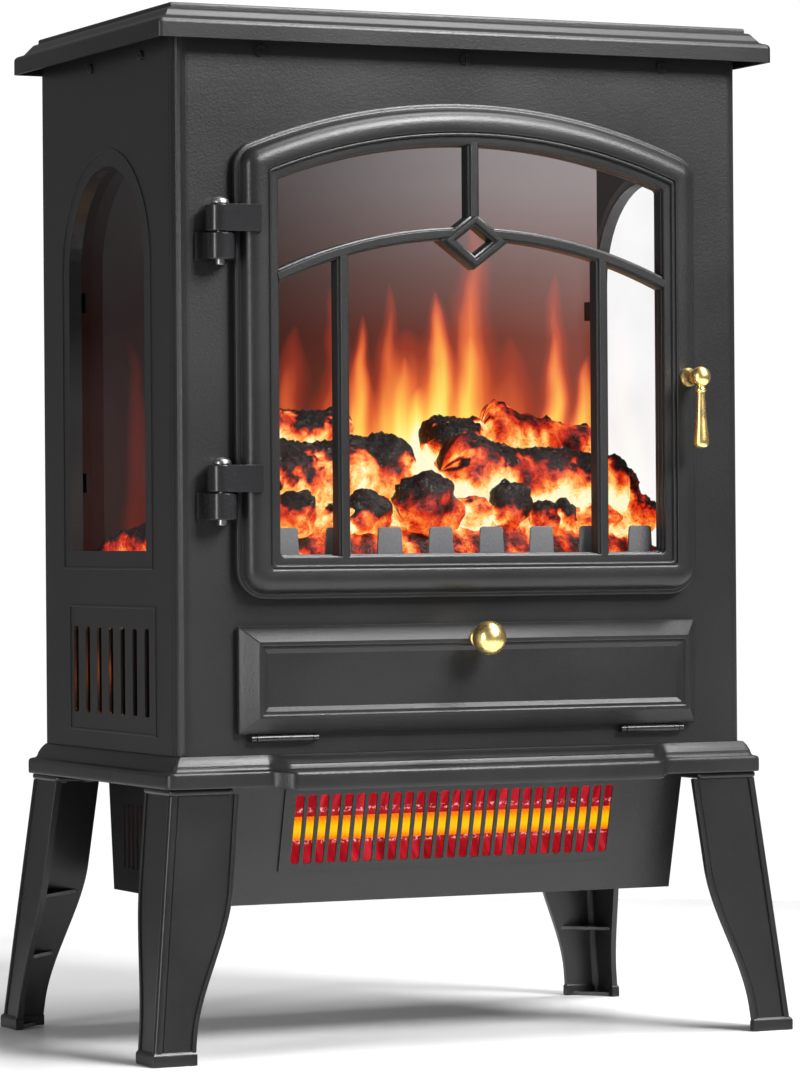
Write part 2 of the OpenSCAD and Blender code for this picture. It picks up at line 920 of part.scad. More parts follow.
// Control behind the plate, with a threaded neck that the knob's stem turns in
module rotary_body(x, r, depth) {
    back = front_y + tray_t;
    color(steel)
        difference() {
            union() {
                rod_y(x, back, back + depth, control_mid, r);
                rod_y(x, back - sheet - 3, back, control_mid, 5);
            }
            rod_y(x, back - sheet - 4, back + 8, control_mid, stem_r + run_gap);
        }
}

// Knob: a skirt, a grip with flutes, a pointer line, and the stem behind it
module rotary_knob(x, r, depth) {
    back = front_y + tray_t - sheet - 3.6;
    grip_r = r - 2;
    flutes = 12;
    color(black_plastic)
        difference() {
            union() {
                rod_y(x, back - depth, back, control_mid, grip_r);
                rod_y(x, back - 3, back, control_mid, r);
                rod_y(x, back, back + 10, control_mid, stem_r);
            }
            for (i = [0:flutes - 1])
                translate([x, 0, control_mid])
                    rotate([0, 360 / flutes * (i + 0.5), 0])
                        rod_y(grip_r + 0.6, back - depth - cut, back - 4, 0, 1.6);
            box([x - 0.6, back - depth - cut, control_mid + 3],
                [x + 0.6, back - depth + 0.6, control_mid + grip_r - 2]);
        }
}

module thermostat_body() {
    rotary_body(thermostat_x, 15, 22);
}

module thermostat_knob() {
    rotary_knob(thermostat_x, 15, 14);
}

module dimmer_body() {
    rotary_body(dimmer_x, 9, 14);
}

module dimmer_knob() {
    rotary_knob(dimmer_x, 10.5, 12);
}

module control_board() {
    y0 = front_y + tray_t + 38;
    color([0.1, 0.35, 0.2])
        box([-60, y0, 200], [100, y0 + 1.6, 245]);
    color(black_plastic) {
        box([-40, y0 + 1.6, 212], [-18, y0 + 18, 230]);
        box([10, y0 + 1.6, 208], [40, y0 + 22, 236]);
        for (x = [60, 76])
            rod_y(x, y0 + 1.6, y0 + 16, 222, 6);
    }
    color(steel)
        for (x = [-52, 92])
            box([x - 3, y0, deck_z], [x + 3, y0 + 1.6, 200]);
}

// ---- Heater box ----

heat_top = deck_z - deck_t;
heat_wall = [[cab_y - 92, 157], [cab_y - 74, heat_z], [cab_y + 81, heat_z], [cab_y + 89, 157]];
heat_lean = atan((heat_wall[1][0] - heat_wall[0][0]) / (157 - heat_z));
tube_y = cab_y - 62;
tube_z = 129;
tube_r = 7;
tube_hx = 128;
cap_hx = 142;
grille_hw = 112;
slot_pitch = 7.85;
slot_w = 5.4;

module heater_housing() {
    outer = concat([[heat_wall[0][0], heat_top]], heat_wall, [[heat_wall[3][0], heat_top]]);
    inner = [
        [heat_wall[0][0] + sheet, heat_top + cut], [heat_wall[0][0] + sheet, 157],
        [heat_wall[1][0] + sheet, heat_z + sheet], [heat_wall[2][0] - sheet, heat_z + sheet],
        [heat_wall[3][0] - sheet, 157], [heat_wall[3][0] - sheet, heat_top + cut]
    ];
    color(black_paint) {
        difference() {
            side_slab(-heat_hw, heat_hw)
                polygon(outer);
            side_slab(-heat_hw + sheet, heat_hw - sheet)
                polygon(inner);
            box([-108, cab_y - 100, 108], [108, cab_y - 70, 152.5]);
            for (i = [0:8])
                side_slab(-heat_hw - cut, heat_hw + cut)
                    translate([cab_y + 5 + 7 * i, 0])
                        polygon(round_rect(0, 100, 3.4, 140, 1.6));
        }
        for (m = [0, 1])
            mirror([m, 0, 0])
                box([cap_hx, tube_y - 12, heat_z + sheet], [cap_hx + sheet, tube_y + 30, tube_z + 10]);
    }
}

module heater_grille() {
    slot_top = -6.2;
    slot_bottom = -48.5;
    color(black_paint)
        translate([0, heat_wall[0][0], 157])
            rotate([heat_lean, 0, 0])
                rotate([90, 0, 0])
                    linear_extrude(height = 1.2)
                        difference() {
                            polygon(rect(-grille_hw, -53, grille_hw, -2));
                            for (i = [0:heat_slots - 1])
                                translate([(i - (heat_slots - 1) / 2) * slot_pitch, 0])
                                    polygon(round_rect(-slot_w / 2, slot_bottom, slot_w / 2, slot_top, 1.6));
                        }
}

module quartz_tube() {
    color([1, 0.6, 0.15])
        rod_x(-tube_hx, tube_hx, tube_y, tube_z, tube_r);
}

module tube_end_caps() {
    color(ceramic)
        for (m = [0, 1])
            mirror([m, 0, 0])
                difference() {
                    box([tube_hx - 6, tube_y - 9, tube_z - 9], [cap_hx, tube_y + 9, tube_z + 9]);
                    rod_x(tube_hx - 7, tube_hx, tube_y, tube_z, tube_r);
                }
}

// Trough reflector that opens towards the grille
module heat_reflector() {
    trough_r = 24;
    trough_t = 0.8;
    trough_hx = cap_hx - 4;
    color(steel)
        side_slab(-trough_hx, trough_hx)
            polygon(concat(
                arc(tube_y, tube_z, trough_r, -98, 98, 20),
                arc(tube_y, tube_z, trough_r + trough_t, 98, -98, 20)
            ));
}

module thermal_cutoff() {
    y0 = tube_y + 24.8;
    color(black_plastic)
        rod_y(60, y0, y0 + 7, tube_z, 8);
    color(steel)
        for (x = [54, 66])
            box([x - 1.5, y0 + 7, tube_z - 3], [x + 1.5, y0 + 12, tube_z + 3]);
}

// Cross-flow blower behind the reflector
blow_y = cab_y + 32;
blow_z = 122;
blow_r = 22;
blow_hx = 100;
shaft_r = 3;

module blower_wheel() {
    blade_count = 24;
    color(black_iron) {
        for (x = [-blow_hx, -1, blow_hx - 2])
            rod_x(x, x + 2, blow_y, blow_z, blow_r);
        rod_x(-blow_hx - 9, blow_hx + 24, blow_y, blow_z, shaft_r);
        for (i = [0:blade_count - 1])
            translate([0, blow_y, blow_z])
                rotate([360 / blade_count * i, 0, 0])
                    translate([0, 18.4, 0])
                        rotate([35, 0, 0])
                            box([-blow_hx, -2.6, -0.35], [blow_hx, 2.6, 0.35]);
    }
}

module blower_motor() {
    color(steel)
        difference() {
            union() {
                rod_x(blow_hx + 10, 146, blow_y, blow_z, 21);
                rod_x(blow_hx + 5, blow_hx + 10, blow_y, blow_z, 8);
                box([blow_hx + 14, blow_y - 14, heat_z + sheet], [142, blow_y + 14, blow_z - 15]);
            }
            rod_x(blow_hx + 4, blow_hx + 25, blow_y, blow_z, shaft_r + run_gap);
        }
}

module blower_bearing() {
    color(steel)
        difference() {
            box([-blow_hx - 8, blow_y - 12, heat_z + sheet], [-blow_hx - 4, blow_y + 12, blow_z + 10]);
            rod_x(-blow_hx - 9, -blow_hx - 3, blow_y, blow_z, shaft_r + run_gap);
        }
}

// ---- Door ----

hinge_x = -161.5;
hinge_t = 9;
hinge_y = front_y - hinge_t;
hinge_z = [462, 312];
knuckle_r = 8.5;
knuckle_h = 15.6;
knuckle_gap = 0.5;
pin_r = 2.6;
arm_end = -139;
arm_t0 = 14;
arm_t1 = 17.5;
handle_x = 140.5;
handle_z = 396.5;
spindle_r = 3;

// Fixed half of each hinge, on the front panel
module hinge_brackets() {
    color(black_iron)
        for (z = hinge_z)
            difference() {
                union() {
                    translate([hinge_x, hinge_y, z])
                        cylinder(h = knuckle_h, r = knuckle_r);
                    box([hinge_x - knuckle_r, hinge_y, z], [hinge_x + knuckle_r, front_y, z + knuckle_h]);
                    box([hinge_x - 12.5, front_y - 2.5, z], [hinge_x + 10, front_y, z + knuckle_h]);
                }
                translate([hinge_x, hinge_y, z - cut])
                    cylinder(h = knuckle_h + 2 * cut, r = pin_r);
            }
}

module hinge_pins() {
    head_z = 2 * knuckle_h + knuckle_gap + 0.4;
    color(steel)
        for (z = hinge_z)
            translate([hinge_x, hinge_y, z]) {
                translate([0, 0, -3])
                    cylinder(h = head_z + 3, r = pin_r);
                translate([0, 0, head_z])
                    rotate_extrude()
                        polygon(concat([[0, 0]], arc(0, 0, 5.4, 0, 40, 4), [[2.6, 4.4], [0, 4.6]]));
            }
}

// Moving half of each hinge: a knuckle and a plate that laps onto the door's stile
module hinge_arms() {
    color(black_iron)
        for (z = hinge_z)
            difference() {
                union() {
                    translate([hinge_x, hinge_y, z + knuckle_h + knuckle_gap])
                        cylinder(h = knuckle_h, r = knuckle_r);
                    box([hinge_x, front_y - arm_t1, z + knuckle_h + knuckle_gap],
                        [arm_end, front_y - arm_t0, z + 2 * knuckle_h + knuckle_gap]);
                }
                translate([hinge_x, hinge_y, z + knuckle_h - cut])
                    cylinder(h = knuckle_h + 4 * cut, r = pin_r + run_gap);
            }
}

// Steps of the door's moulding: inset of its outer edge, and the depths it runs between
door_steps = [[0, 3, 6.4], [3.2, 6.4, 9.4], [4.4, 9.4, 12], [6.6, 12, 14.4], [10, 14.4, 16]];
mould_in = 20;
mould_steps = [[16.2, 14.8]];
band_front = 12.5;

module door_frame() {
    color(black_paint)
        difference() {
            union() {
                for (s = door_steps)
                    front_slab(s[1], s[2])
                        polygon(door_outline(s[0]));
            }
            for (s = mould_steps)
                front_slab(s[1], door_front + cut)
                    difference() {
                        polygon(door_outline(s[0]));
                        polygon(door_outline(mould_in + 0.5));
                    }
            front_slab(band_front, door_front + cut)
                polygon(door_outline(mould_in));
            front_slab(door_back - cut, door_front + cut)
                polygon(door_outline(stile));
            for (z = hinge_z)
                box([hinge_x, front_y - arm_t1 - cut, z + knuckle_h + knuckle_gap],
                    [arm_end, front_y - arm_t0, z + 2 * knuckle_h + knuckle_gap]);
            rod_y(handle_x, front_y - door_front - cut, front_y - door_back + cut, handle_z, spindle_r + run_gap);
        }
}

// Tracery: a cross arch, three uprights and a pierced diamond, in two depths
cross_r = 305;
upright_x = 85;
diamond_z = 476;
diamond_hw = 23;
diamond_hh = 17;
ring_w = 9;
bar_front = 13;

function diamond(grow) =
    [[diamond_hw + grow, diamond_z], [0, diamond_z + diamond_hh + grow],
     [-diamond_hw - grow, diamond_z], [0, diamond_z - diamond_hh - grow]];

module tracery_outline(w) {
    open_hw = door_hw - stile;
    open_r = door_r - stile;
    half = w / 2;
    reach = asin(open_hw / (cross_r + half)) + 1;
    difference() {
        intersection() {
            union() {
                polygon(concat(
                    arc(0, arch_z, cross_r + half + 1, 90 - reach, 90 + reach, 24),
                    arc(0, arch_z, cross_r - half - 1, 90 + reach, 90 - reach, 24)
                ));
                for (s = [-1, 1])
                    polygon(rect(s * upright_x - half, door_z + stile - cut,
                        s * upright_x + half, arch_z + sqrt(cross_r * cross_r - upright_x * upright_x)));
                polygon(rect(-half, diamond_z + diamond_hh - 6, half, arch_z + open_r + cut));
                polygon(diamond(w - bar_w));
            }
            polygon(door_outline(stile));
        }
        polygon(diamond(-ring_w * 1.25));
    }
}

module door_tracery() {
    color(black_paint) {
        front_slab(door_back, bar_front - 1.6)
            tracery_outline(bar_w);
        front_slab(bar_front - 1.6, bar_front)
            tracery_outline(bar_w - 3);
    }
}

module door_glass() {
    color(clear_glass)
        front_slab(door_back - glass_t, door_back)
            polygon(door_outline(stile - 5));
}

clip_points = [[-124, 340], [-124, 440], [124, 340], [124, 440], [-60, 292], [60, 292]];

// Spring clips that hold the glass to the back of the door frame
module glass_clips() {
    color(steel)
        for (p = clip_points) {
            side = abs(p[0]) > 100;
            s = p[0] > 0 ? 1 : -1;
            if (side)
                box([min(s * 128.5, s * 133), front_y - door_back + glass_t, p[1] - 6],
                    [max(s * 128.5, s * 133), front_y - door_back + glass_t + 0.8, p[1] + 6]);
            else
                box([p[0] - 6, front_y - door_back + glass_t, 288.6],
                    [p[0] + 6, front_y - door_back + glass_t + 0.8, 291.5]);
        }
}

// Magnet catch inside the opening's right edge, and the plate on the door that it holds
catch_z = 430;
module magnet_catch() {
    color(black_plastic)
        box([fire_hw - 0.1, front_y + sheet, catch_z - 18], [fire_hw + 14, front_y + sheet + 10, catch_z + 18]);
    color(steel)
        box([fire_hw + 3, front_y - 0.6, catch_z - 12], [fire_hw + 11, front_y, catch_z + 12]);
}

module striker_plate() {
    color(steel)
        box([fire_hw + 2, front_y - door_back, catch_z - 14], [fire_hw + 12, front_y - door_back + 1.2, catch_z + 14]);
}

// Brass handle: a post that turns in the stile, a ball, and a tapered drop
module door_handle() {
    ball_t = 32;
    ball_r = knob_reach - ball_t;
    drop_z = -43;
    color(brass)
        translate([handle_x, front_y, handle_z]) {
            rotate([90, 0, 0]) {
                translate([0, 0, door_front + 0.4])
                    cylinder(h = ball_t - door_front - 3, r = 5.4);
                translate([0, 0, 0.6])
                    cylinder(h = door_front, r = spindle_r);
                translate([0, 0, 0.4])
                    cylinder(h = 2.2, r = 5, $fn = 6);
            }
            translate([0, -ball_t, 0]) {
                sphere(r = ball_r);
                rotate_extrude()
                    polygon([
                        [0, 0], [2.6, -4], [2.6, -7], [3.4, -8], [4.6, drop_z + 5], [3.4, drop_z + 1.2], [0, drop_z]
                    ]);
            }
        }
}

// ---- Control flap ----

flap_back = 2;
flap_front = 14;
flap_axis_t = 3.2;
flap_axis_z = flap_z - 2.6;
barrel_r = 2.4;
flap_pin_r = 1;
barrel_x0 = 103.4;
barrel_x1 = 138.6;
flap_steps = [[0, 2, 5], [2.5, 5, 7.5], [5, 7.5, 10], [7.5, 10, 12], [9.5, 12, 14]];
flap_knob_z = 242;

function flap_outline(d) = rect(-flap_hw + d, flap_z + d, flap_hw - d, flap_top - d);

module flap_panel() {
    color(black_paint)
        difference() {
            union() {
                for (s = flap_steps)
                    front_slab(s[1], s[2])
                        polygon(flap_outline(s[0]));
            }
            front_slab(flap_front - 2.5, flap_front + cut)
                polygon(flap_outline(12.5));
            front_slab(flap_back - cut, flap_front - 5)
                polygon(flap_outline(8));
            front_slab(flap_front - 3.4, flap_front)
                difference() {
                    polygon(flap_outline(12.5));
                    polygon(flap_outline(14.5));
                }
            rod_y(0, front_y - flap_front - cut, front_y, flap_knob_z, 2.5);
        }
}

module flap_knob() {
    color(brass)
        translate([0, front_y, flap_knob_z])
            rotate([90, 0, 0])
                rotate_extrude()
                    polygon(concat(
                        [[0, 7.5], [2.5, 7.5], [2.5, flap_front], [6, flap_front], [6, flap_front + 1.5], [4, flap_front + 5]],
                        arc(0, 28, 10, -52, 90, 16)
                    ));
}

// Leaves and barrels of the flap's two hinges
module flap_barrels() {
    color(black_iron)
        for (m = [0, 1])
            mirror([m, 0, 0])
                difference() {
                    union() {
                        rod_x(barrel_x0, barrel_x1, front_y - flap_axis_t, flap_axis_z, barrel_r);
                        box([barrel_x0, front_y - flap_back, flap_axis_z], [barrel_x1, front_y - 0.8, flap_z + 7]);
                    }
                    rod_x(barrel_x0 - cut, barrel_x1 + cut, front_y - flap_axis_t, flap_axis_z, flap_pin_r + run_gap);
                }
}

// Round-nosed lugs on the front panel with the pin that each barrel turns on
module flap_hinge_pins() {
    lug = 3;
    lug_r = 2.2;
    lug_y = front_y - flap_axis_t;
    color(black_iron)
        for (m = [0, 1])
            mirror([m, 0, 0]) {
                for (x = [barrel_x0 - 0.5 - lug, barrel_x1 + 0.5]) {
                    rod_x(x, x + lug, lug_y, flap_axis_z, lug_r);
                    box([x, lug_y, flap_axis_z - lug_r], [x + lug, front_y, flap_axis_z + lug_r]);
                }
                rod_x(barrel_x0 - 1, barrel_x1 + 1, lug_y, flap_axis_z, flap_pin_r);
            }
}

top_cover();
front_panel();
left_side_panel();
right_side_panel();
back_panel();
base_plate();
leg_front_left();
leg_front_right();
leg_back_left();
leg_back_right();
leg_screws();
cover_screws();
back_screws();
left_window_glass();
right_window_glass();
window_clips();
firebox_floor();
flame_screen();
ember_bed();
log_set();
grate_fence();
led_board();
flicker_motor();
flicker_bearing();
flicker_rod();
control_plate();
power_switch_body();
heat_switch_body();
power_rocker();
heat_rocker();
thermostat_body();
thermostat_knob();
dimmer_body();
dimmer_knob();
control_board();
heater_housing();
heater_grille();
quartz_tube();
tube_end_caps();
heat_reflector();
thermal_cutoff();
blower_motor();
blower_bearing();
blower_wheel();
cord_bush();
hinge_brackets();
hinge_pins();
hinge_arms();
magnet_catch();
door_frame();
door_tracery();
door_glass();
glass_clips();
striker_plate();
door_handle();
flap_panel();
flap_knob();
flap_barrels();
flap_hinge_pins();
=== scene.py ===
"""The looks of a free-standing electric stove heater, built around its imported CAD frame.

Lengths in this file are in millimetres in the part's own frame, unless a name says otherwise.
"""

import json
import math

import bmesh
import bpy
from mathutils import Matrix, Vector, noise


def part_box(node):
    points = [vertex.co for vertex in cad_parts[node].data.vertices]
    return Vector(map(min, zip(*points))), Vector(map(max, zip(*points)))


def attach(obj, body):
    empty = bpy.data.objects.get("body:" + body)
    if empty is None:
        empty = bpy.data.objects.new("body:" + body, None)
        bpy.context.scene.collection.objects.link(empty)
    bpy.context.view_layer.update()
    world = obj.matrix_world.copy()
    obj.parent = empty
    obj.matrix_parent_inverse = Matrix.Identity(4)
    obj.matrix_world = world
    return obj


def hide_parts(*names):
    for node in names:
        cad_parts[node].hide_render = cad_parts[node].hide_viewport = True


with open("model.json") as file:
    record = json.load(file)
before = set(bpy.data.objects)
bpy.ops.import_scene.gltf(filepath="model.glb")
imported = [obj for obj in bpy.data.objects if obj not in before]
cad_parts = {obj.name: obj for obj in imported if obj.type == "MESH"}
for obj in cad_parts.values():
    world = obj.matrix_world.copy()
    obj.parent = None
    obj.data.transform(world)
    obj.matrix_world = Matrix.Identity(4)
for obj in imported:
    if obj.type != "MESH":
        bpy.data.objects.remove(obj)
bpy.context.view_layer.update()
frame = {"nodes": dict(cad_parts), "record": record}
scene = bpy.context.scene
MM = 0.001


# ---- Measures taken from the frame ----


def corners(node):
    """A CAD node's lowest and highest corners, in millimetres."""
    return [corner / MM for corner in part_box(node)]


front_y = corners("front_panel")[0].y
side_x = corners("front_panel")[1].x
back_y = corners("back_panel")[1].y
cover_lo, cover_hi = corners("top_cover")
plate_lo, plate_hi = corners("base_plate")
door_lo, door_hi = corners("door_frame")
flap_lo, flap_hi = corners("flap_panel")
leg_hi = corners("leg_front_right")[1]
bed_lo, bed_hi = corners("ember_bed")
cab_y = (front_y + back_y) / 2
deck_z = plate_hi.z


# ---- Outlines ----


def arc(cx, cy, r, a0, a1, n=8):
    """Points along an arc, ends included, from angle a0 to a1 in degrees."""
    turns = [math.radians(a0 + (a1 - a0) * i / n) for i in range(n + 1)]
    return [(cx + r * math.cos(a), cy + r * math.sin(a)) for a in turns]


def rounded(points, passes=2):
    """An open line with its corners cut round. A doubled point stays sharp."""
    for _ in range(passes):
        line = [points[0]]
        for (ax, ay), (bx, by) in zip(points, points[1:]):
            line.append((ax * 0.75 + bx * 0.25, ay * 0.75 + by * 0.25))
            line.append((ax * 0.25 + bx * 0.75, ay * 0.25 + by * 0.75))
        points = line + [points[-1]]
    return points


def round_rect(x0, y0, x1, y1, r, n=5):
    """A rectangle's outline with round corners."""
    return (
        arc(x1 - r, y0 + r, r, -90, 0, n)
        + arc(x1 - r, y1 - r, r, 0, 90, n)
        + arc(x0 + r, y1 - r, r, 90, 180, n)
        + arc(x0 + r, y0 + r, r, 180, 270, n)
    )


def smooth(s):
    """Smooth step from 0 to 1."""
    s = max(0.0, min(1.0, s))
    return s * s * (3 - 2 * s)


# ---- Building meshes ----


class Solid:
    """Closed shapes gathered into one piece."""

    def __init__(self):
        self.points = []
        self.faces = []
        self.heat = []

    def loft(self, rings, wrap=False):
        """Skins a row of closed rings. Its two ends are capped, or joined to each other with wrap."""
        first = len(self.points)
        size = len(rings[0])
        for ring in rings:
            self.points += [tuple(p) for p in ring]
        last = len(rings) if wrap else len(rings) - 1
        for i in range(last):
            low = first + i * size
            high = first + (i + 1) % len(rings) * size
            for j in range(size):
                k = (j + 1) % size
                self.faces.append((low + j, low + k, high + k, high + j))
        if not wrap:
            self.faces.append(tuple(range(first + size - 1, first - 1, -1)))
            self.faces.append(tuple(range(first + (len(rings) - 1) * size, first + len(rings) * size)))
        return self

    def box(self, lo, hi):
        """A box from its low corner to its high corner."""
        ring = [(lo[0], lo[1]), (hi[0], lo[1]), (hi[0], hi[1]), (lo[0], hi[1])]
        return self.loft([[(x, y, z) for x, y in ring] for z in (lo[2], hi[2])])

    def lathe(self, profile, place, axis="Z", n=48):
        """Turns a profile of (radius, height) about an axis through place."""
        rings = []
        for r, h in profile:
            ring = []
            for a, b in arc(0, 0, max(r, 0.02), 0, 360 - 360 / n, n - 1):
                local = {"-Y": (a, -h, b), "Z": (a, b, h)}[axis]
                ring.append(tuple(Vector(place) + Vector(local)))
            rings.append(ring)
        return self.loft(rings)


def link(name, mesh):
    """An object for a mesh, in the scene."""
    obj = bpy.data.objects.new(name, mesh)
    scene.collection.objects.link(obj)
    return obj


def bevel(obj, width):
    """Rounds an object's sharp edges with a modifier."""
    cut = obj.modifiers.new("rounded_edges", "BEVEL")
    cut.width = width * MM
    cut.segments = 2
    cut.limit_method = "ANGLE"
    cut.angle_limit = math.radians(32)
    cut.use_clamp_overlap = True
    cut.harden_normals = False


def piece(name, solid, body, slot, stands_for=(), edge=0.0, crease=34):
    """Makes a gathered solid into a piece that rides on a body and stands for CAD nodes."""
    mesh = bpy.data.meshes.new(name)
    mesh.from_pydata([Vector(p) * MM for p in solid.points], [], solid.faces)
    if solid.heat:
        mesh.attributes.new("warmth", "FLOAT", "POINT").data.foreach_set("value", solid.heat)
    shape = bmesh.new()
    shape.from_mesh(mesh)
    bmesh.ops.recalc_face_normals(shape, faces=shape.faces)
    shape.to_mesh(mesh)
    shape.free()
    mesh.shade_smooth()
    mesh.set_sharp_from_angle(angle=math.radians(crease))
    mesh.materials.append(finishes[slot])
    obj = link(name, mesh)
    if edge:
        bevel(obj, edge)
    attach(obj, body)
    if stands_for:
        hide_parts(*stands_for)
    return obj


# ---- Materials ----


class Shading:
    """One material's node tree, with a short call for each kind of node."""

    def __init__(self, name):
        self.material = bpy.data.materials.new(name)
        self.material.use_nodes = True
        self.tree = self.material.node_tree
        self.shader = self.tree.nodes["Principled BSDF"]
        self.place = self.node("ShaderNodeTexCoord").outputs["Object"]

    def node(self, kind, inputs=None, **settings):
        made = self.tree.nodes.new(kind)
        for key, value in settings.items():
            setattr(made, key, value)
        for key, value in (inputs or {}).items():
            if isinstance(value, bpy.types.NodeSocket):
                self.tree.links.new(value, made.inputs[key])
            else:
                made.inputs[key].default_value = value
        return made

    def noise(self, scale, detail=3.0, roughness=0.55, vector=None, distortion=0.0):
        inputs = {"Vector": vector or self.place, "Scale": scale, "Detail": detail}
        inputs.update({"Roughness": roughness, "Distortion": distortion})
        return self.node("ShaderNodeTexNoise", inputs).outputs["Fac"]

    def cells(self, scale):
        inputs = {"Vector": self.place, "Scale": scale}
        return self.node("ShaderNodeTexVoronoi", inputs).outputs["Distance"]

    def sums(self, operation, a, b=0.0, c=0.0, clamp=False):
        inputs = {0: a, 1: b, 2: c}
        return self.node("ShaderNodeMath", inputs, operation=operation, use_clamp=clamp).outputs[0]

    def spread(self, value, low, high, to_low=0.0, to_high=1.0, smoothly=True):
        """Maps value from low..high to to_low..to_high."""
        inputs = {"Value": value, "From Min": low, "From Max": high, "To Min": to_low, "To Max": to_high}
        kind = "SMOOTHSTEP" if smoothly else "LINEAR"
        return self.node("ShaderNodeMapRange", inputs, interpolation_type=kind).outputs["Result"]

    def ramp(self, value, stops, how="LINEAR"):
        """Colour along a ramp of (position, colour) stops."""
        made = self.node("ShaderNodeValToRGB", {"Fac": value})
        made.color_ramp.interpolation = how
        elements = made.color_ramp.elements
        while len(elements) < len(stops):
            elements.new(0.5)
        for element, (position, colour) in zip(elements, stops):
            element.position = position
            element.color = (*colour, 1.0)
        return made.outputs["Color"]

    def mix(self, share, a, b, blend="MIX"):
        """Blends two colours."""
        inputs = {0: share}
        inputs[6] = a if isinstance(a, bpy.types.NodeSocket) else (*a, 1.0)
        inputs[7] = b if isinstance(b, bpy.types.NodeSocket) else (*b, 1.0)
        made = self.node("ShaderNodeMix", None, data_type="RGBA", blend_type=blend)
        for key, value in inputs.items():
            if isinstance(value, bpy.types.NodeSocket):
                self.tree.links.new(value, made.inputs[key])
            else:
                made.inputs[key].default_value = value
        return made.outputs[2]

    def scaled(self, x, y, z):
        """The object's coordinates, stretched."""
        return self.node("ShaderNodeMapping", {"Vector": self.place, "Scale": (x, y, z)}).outputs[0]

    def axis(self, name):
        """One of the object's coordinates, in millimetres."""
        split = self.node("ShaderNodeSeparateXYZ", {0: self.place})
        return self.sums("MULTIPLY", split.outputs[name], 1 / MM)

    def upward(self):
        """How far the surface faces up, from -1 to 1."""
        normal = self.node("ShaderNodeNewGeometry").outputs["Normal"]
        return self.node("ShaderNodeSeparateXYZ", {0: normal}).outputs["Z"]

    def bump(self, height, strength, depth):
        """Small relief of a depth in millimetres."""
        inputs = {"Height": height, "Strength": strength, "Distance": depth * MM}
        made = self.node("ShaderNodeBump", inputs)
        self.tree.links.new(made.outputs["Normal"], self.shader.inputs["Normal"])

    def finish(self, **inputs):
        """Sets the Principled shader's inputs and returns the material."""
        names = {"color": "Base Color", "glow": "Emission Color", "glow_strength": "Emission Strength"}
        names.update({"metallic": "Metallic", "roughness": "Roughness", "ior": "IOR"})
        names["specular"] = "Specular IOR Level"
        for key, value in inputs.items():
            socket = self.shader.inputs[names[key]]
            if isinstance(value, bpy.types.NodeSocket):
                self.tree.links.new(value, socket)
            elif isinstance(value, tuple):
                socket.default_value = (*value, 1.0)
            else:
                socket.default_value = value
        return self.material


def painted(name, dark, light, rough, peel, grain=1100.0):
    """Painted or coated metal: a fine pebbled film with faint drifts of shade and gloss."""
    s = Shading(name)
    drift = s.noise(9.0, 3.0)
    film = s.noise(grain, 2.0, 0.6)
    shade = s.mix(s.spread(drift, 0.3, 0.7), dark, light)
    shade = s.mix(s.spread(film, 0.35, 0.75, 0.0, 0.35), shade, tuple(1.5 * c for c in light))
    coarse = s.noise(grain * 0.5, 2.0, 0.5)
    s.bump(s.sums("MULTIPLY_ADD", coarse, 1.5, film), peel, 0.18)
    drifting = s.spread(drift, 0.25, 0.75, rough - 0.03, rough + 0.04)
    gloss = s.sums("ADD", drifting, s.spread(film, 0, 1, -0.03, 0.03))
    return s.finish(color=shade, roughness=gloss, specular=0.38)


def bare_metal(name, low, high, rough):
    """Bare metal with a faint drawn grain and small changes of gloss."""
    s = Shading(name)
    streaks = s.noise(1.0, 3.0, 0.6, s.scaled(40.0, 900.0, 900.0))
    cloud = s.noise(45.0, 3.0)
    shade = s.mix(s.spread(streaks, 0.3, 0.7), low, high)
    s.bump(streaks, 0.25, 0.03)
    cloudy = s.spread(cloud, 0.3, 0.7, rough - 0.05, rough + 0.07)
    gloss = s.sums("ADD", cloudy, s.spread(streaks, 0, 1, -0.03, 0.03))
    return s.finish(color=shade, roughness=gloss, metallic=1.0)


def moulded(name, dark, light, rough):
    """Moulded plastic with a spark-eroded grain."""
    s = Shading(name)
    grain = s.cells(2200.0)
    cloud = s.noise(60.0, 4.0)
    s.bump(grain, 0.12, 0.05)
    shade = s.mix(s.spread(cloud, 0.3, 0.7), dark, light)
    return s.finish(color=shade, roughness=s.spread(cloud, 0.3, 0.7, rough - 0.05, rough + 0.06))


def brass():
    """Lacquered brass, with a soft tarnish."""
    s = Shading("brass")
    tarnish = s.noise(160.0, 5.0, 0.65)
    shade = s.mix(s.spread(tarnish, 0.35, 0.75), (1.0, 0.78, 0.32), (0.9, 0.62, 0.2))
    s.bump(s.noise(700.0, 2.0), 0.04, 0.05)
    return s.finish(color=shade, roughness=s.spread(tarnish, 0.3, 0.7, 0.24, 0.36), metallic=1.0)


def window_pane():
    """Clear glass: see-through, with a thin mirror film and a faint haze."""
    s = Shading("clear_glass")
    haze = s.noise(14.0, 4.0)
    tint = s.mix(s.spread(haze, 0.35, 0.75), (0.995, 0.995, 0.995), (0.98, 0.98, 0.982))
    through = s.node("ShaderNodeBsdfTransparent", {"Color": tint})
    mirror = s.node("ShaderNodeBsdfGlossy", {"Color": (0.9, 0.92, 0.95, 1), "Roughness": 0.04})
    edge_on = s.node("ShaderNodeFresnel", {"IOR": 1.35}).outputs[0]
    share = s.sums("MULTIPLY", edge_on, s.spread(haze, 0.3, 0.7, 0.06, 0.1))
    both = s.node("ShaderNodeMixShader", {0: share, 1: through.outputs[0], 2: mirror.outputs[0]})
    out = s.tree.nodes["Material Output"]
    s.tree.links.new(both.outputs[0], out.inputs["Surface"])
    s.tree.nodes.remove(s.shader)
    return s.material


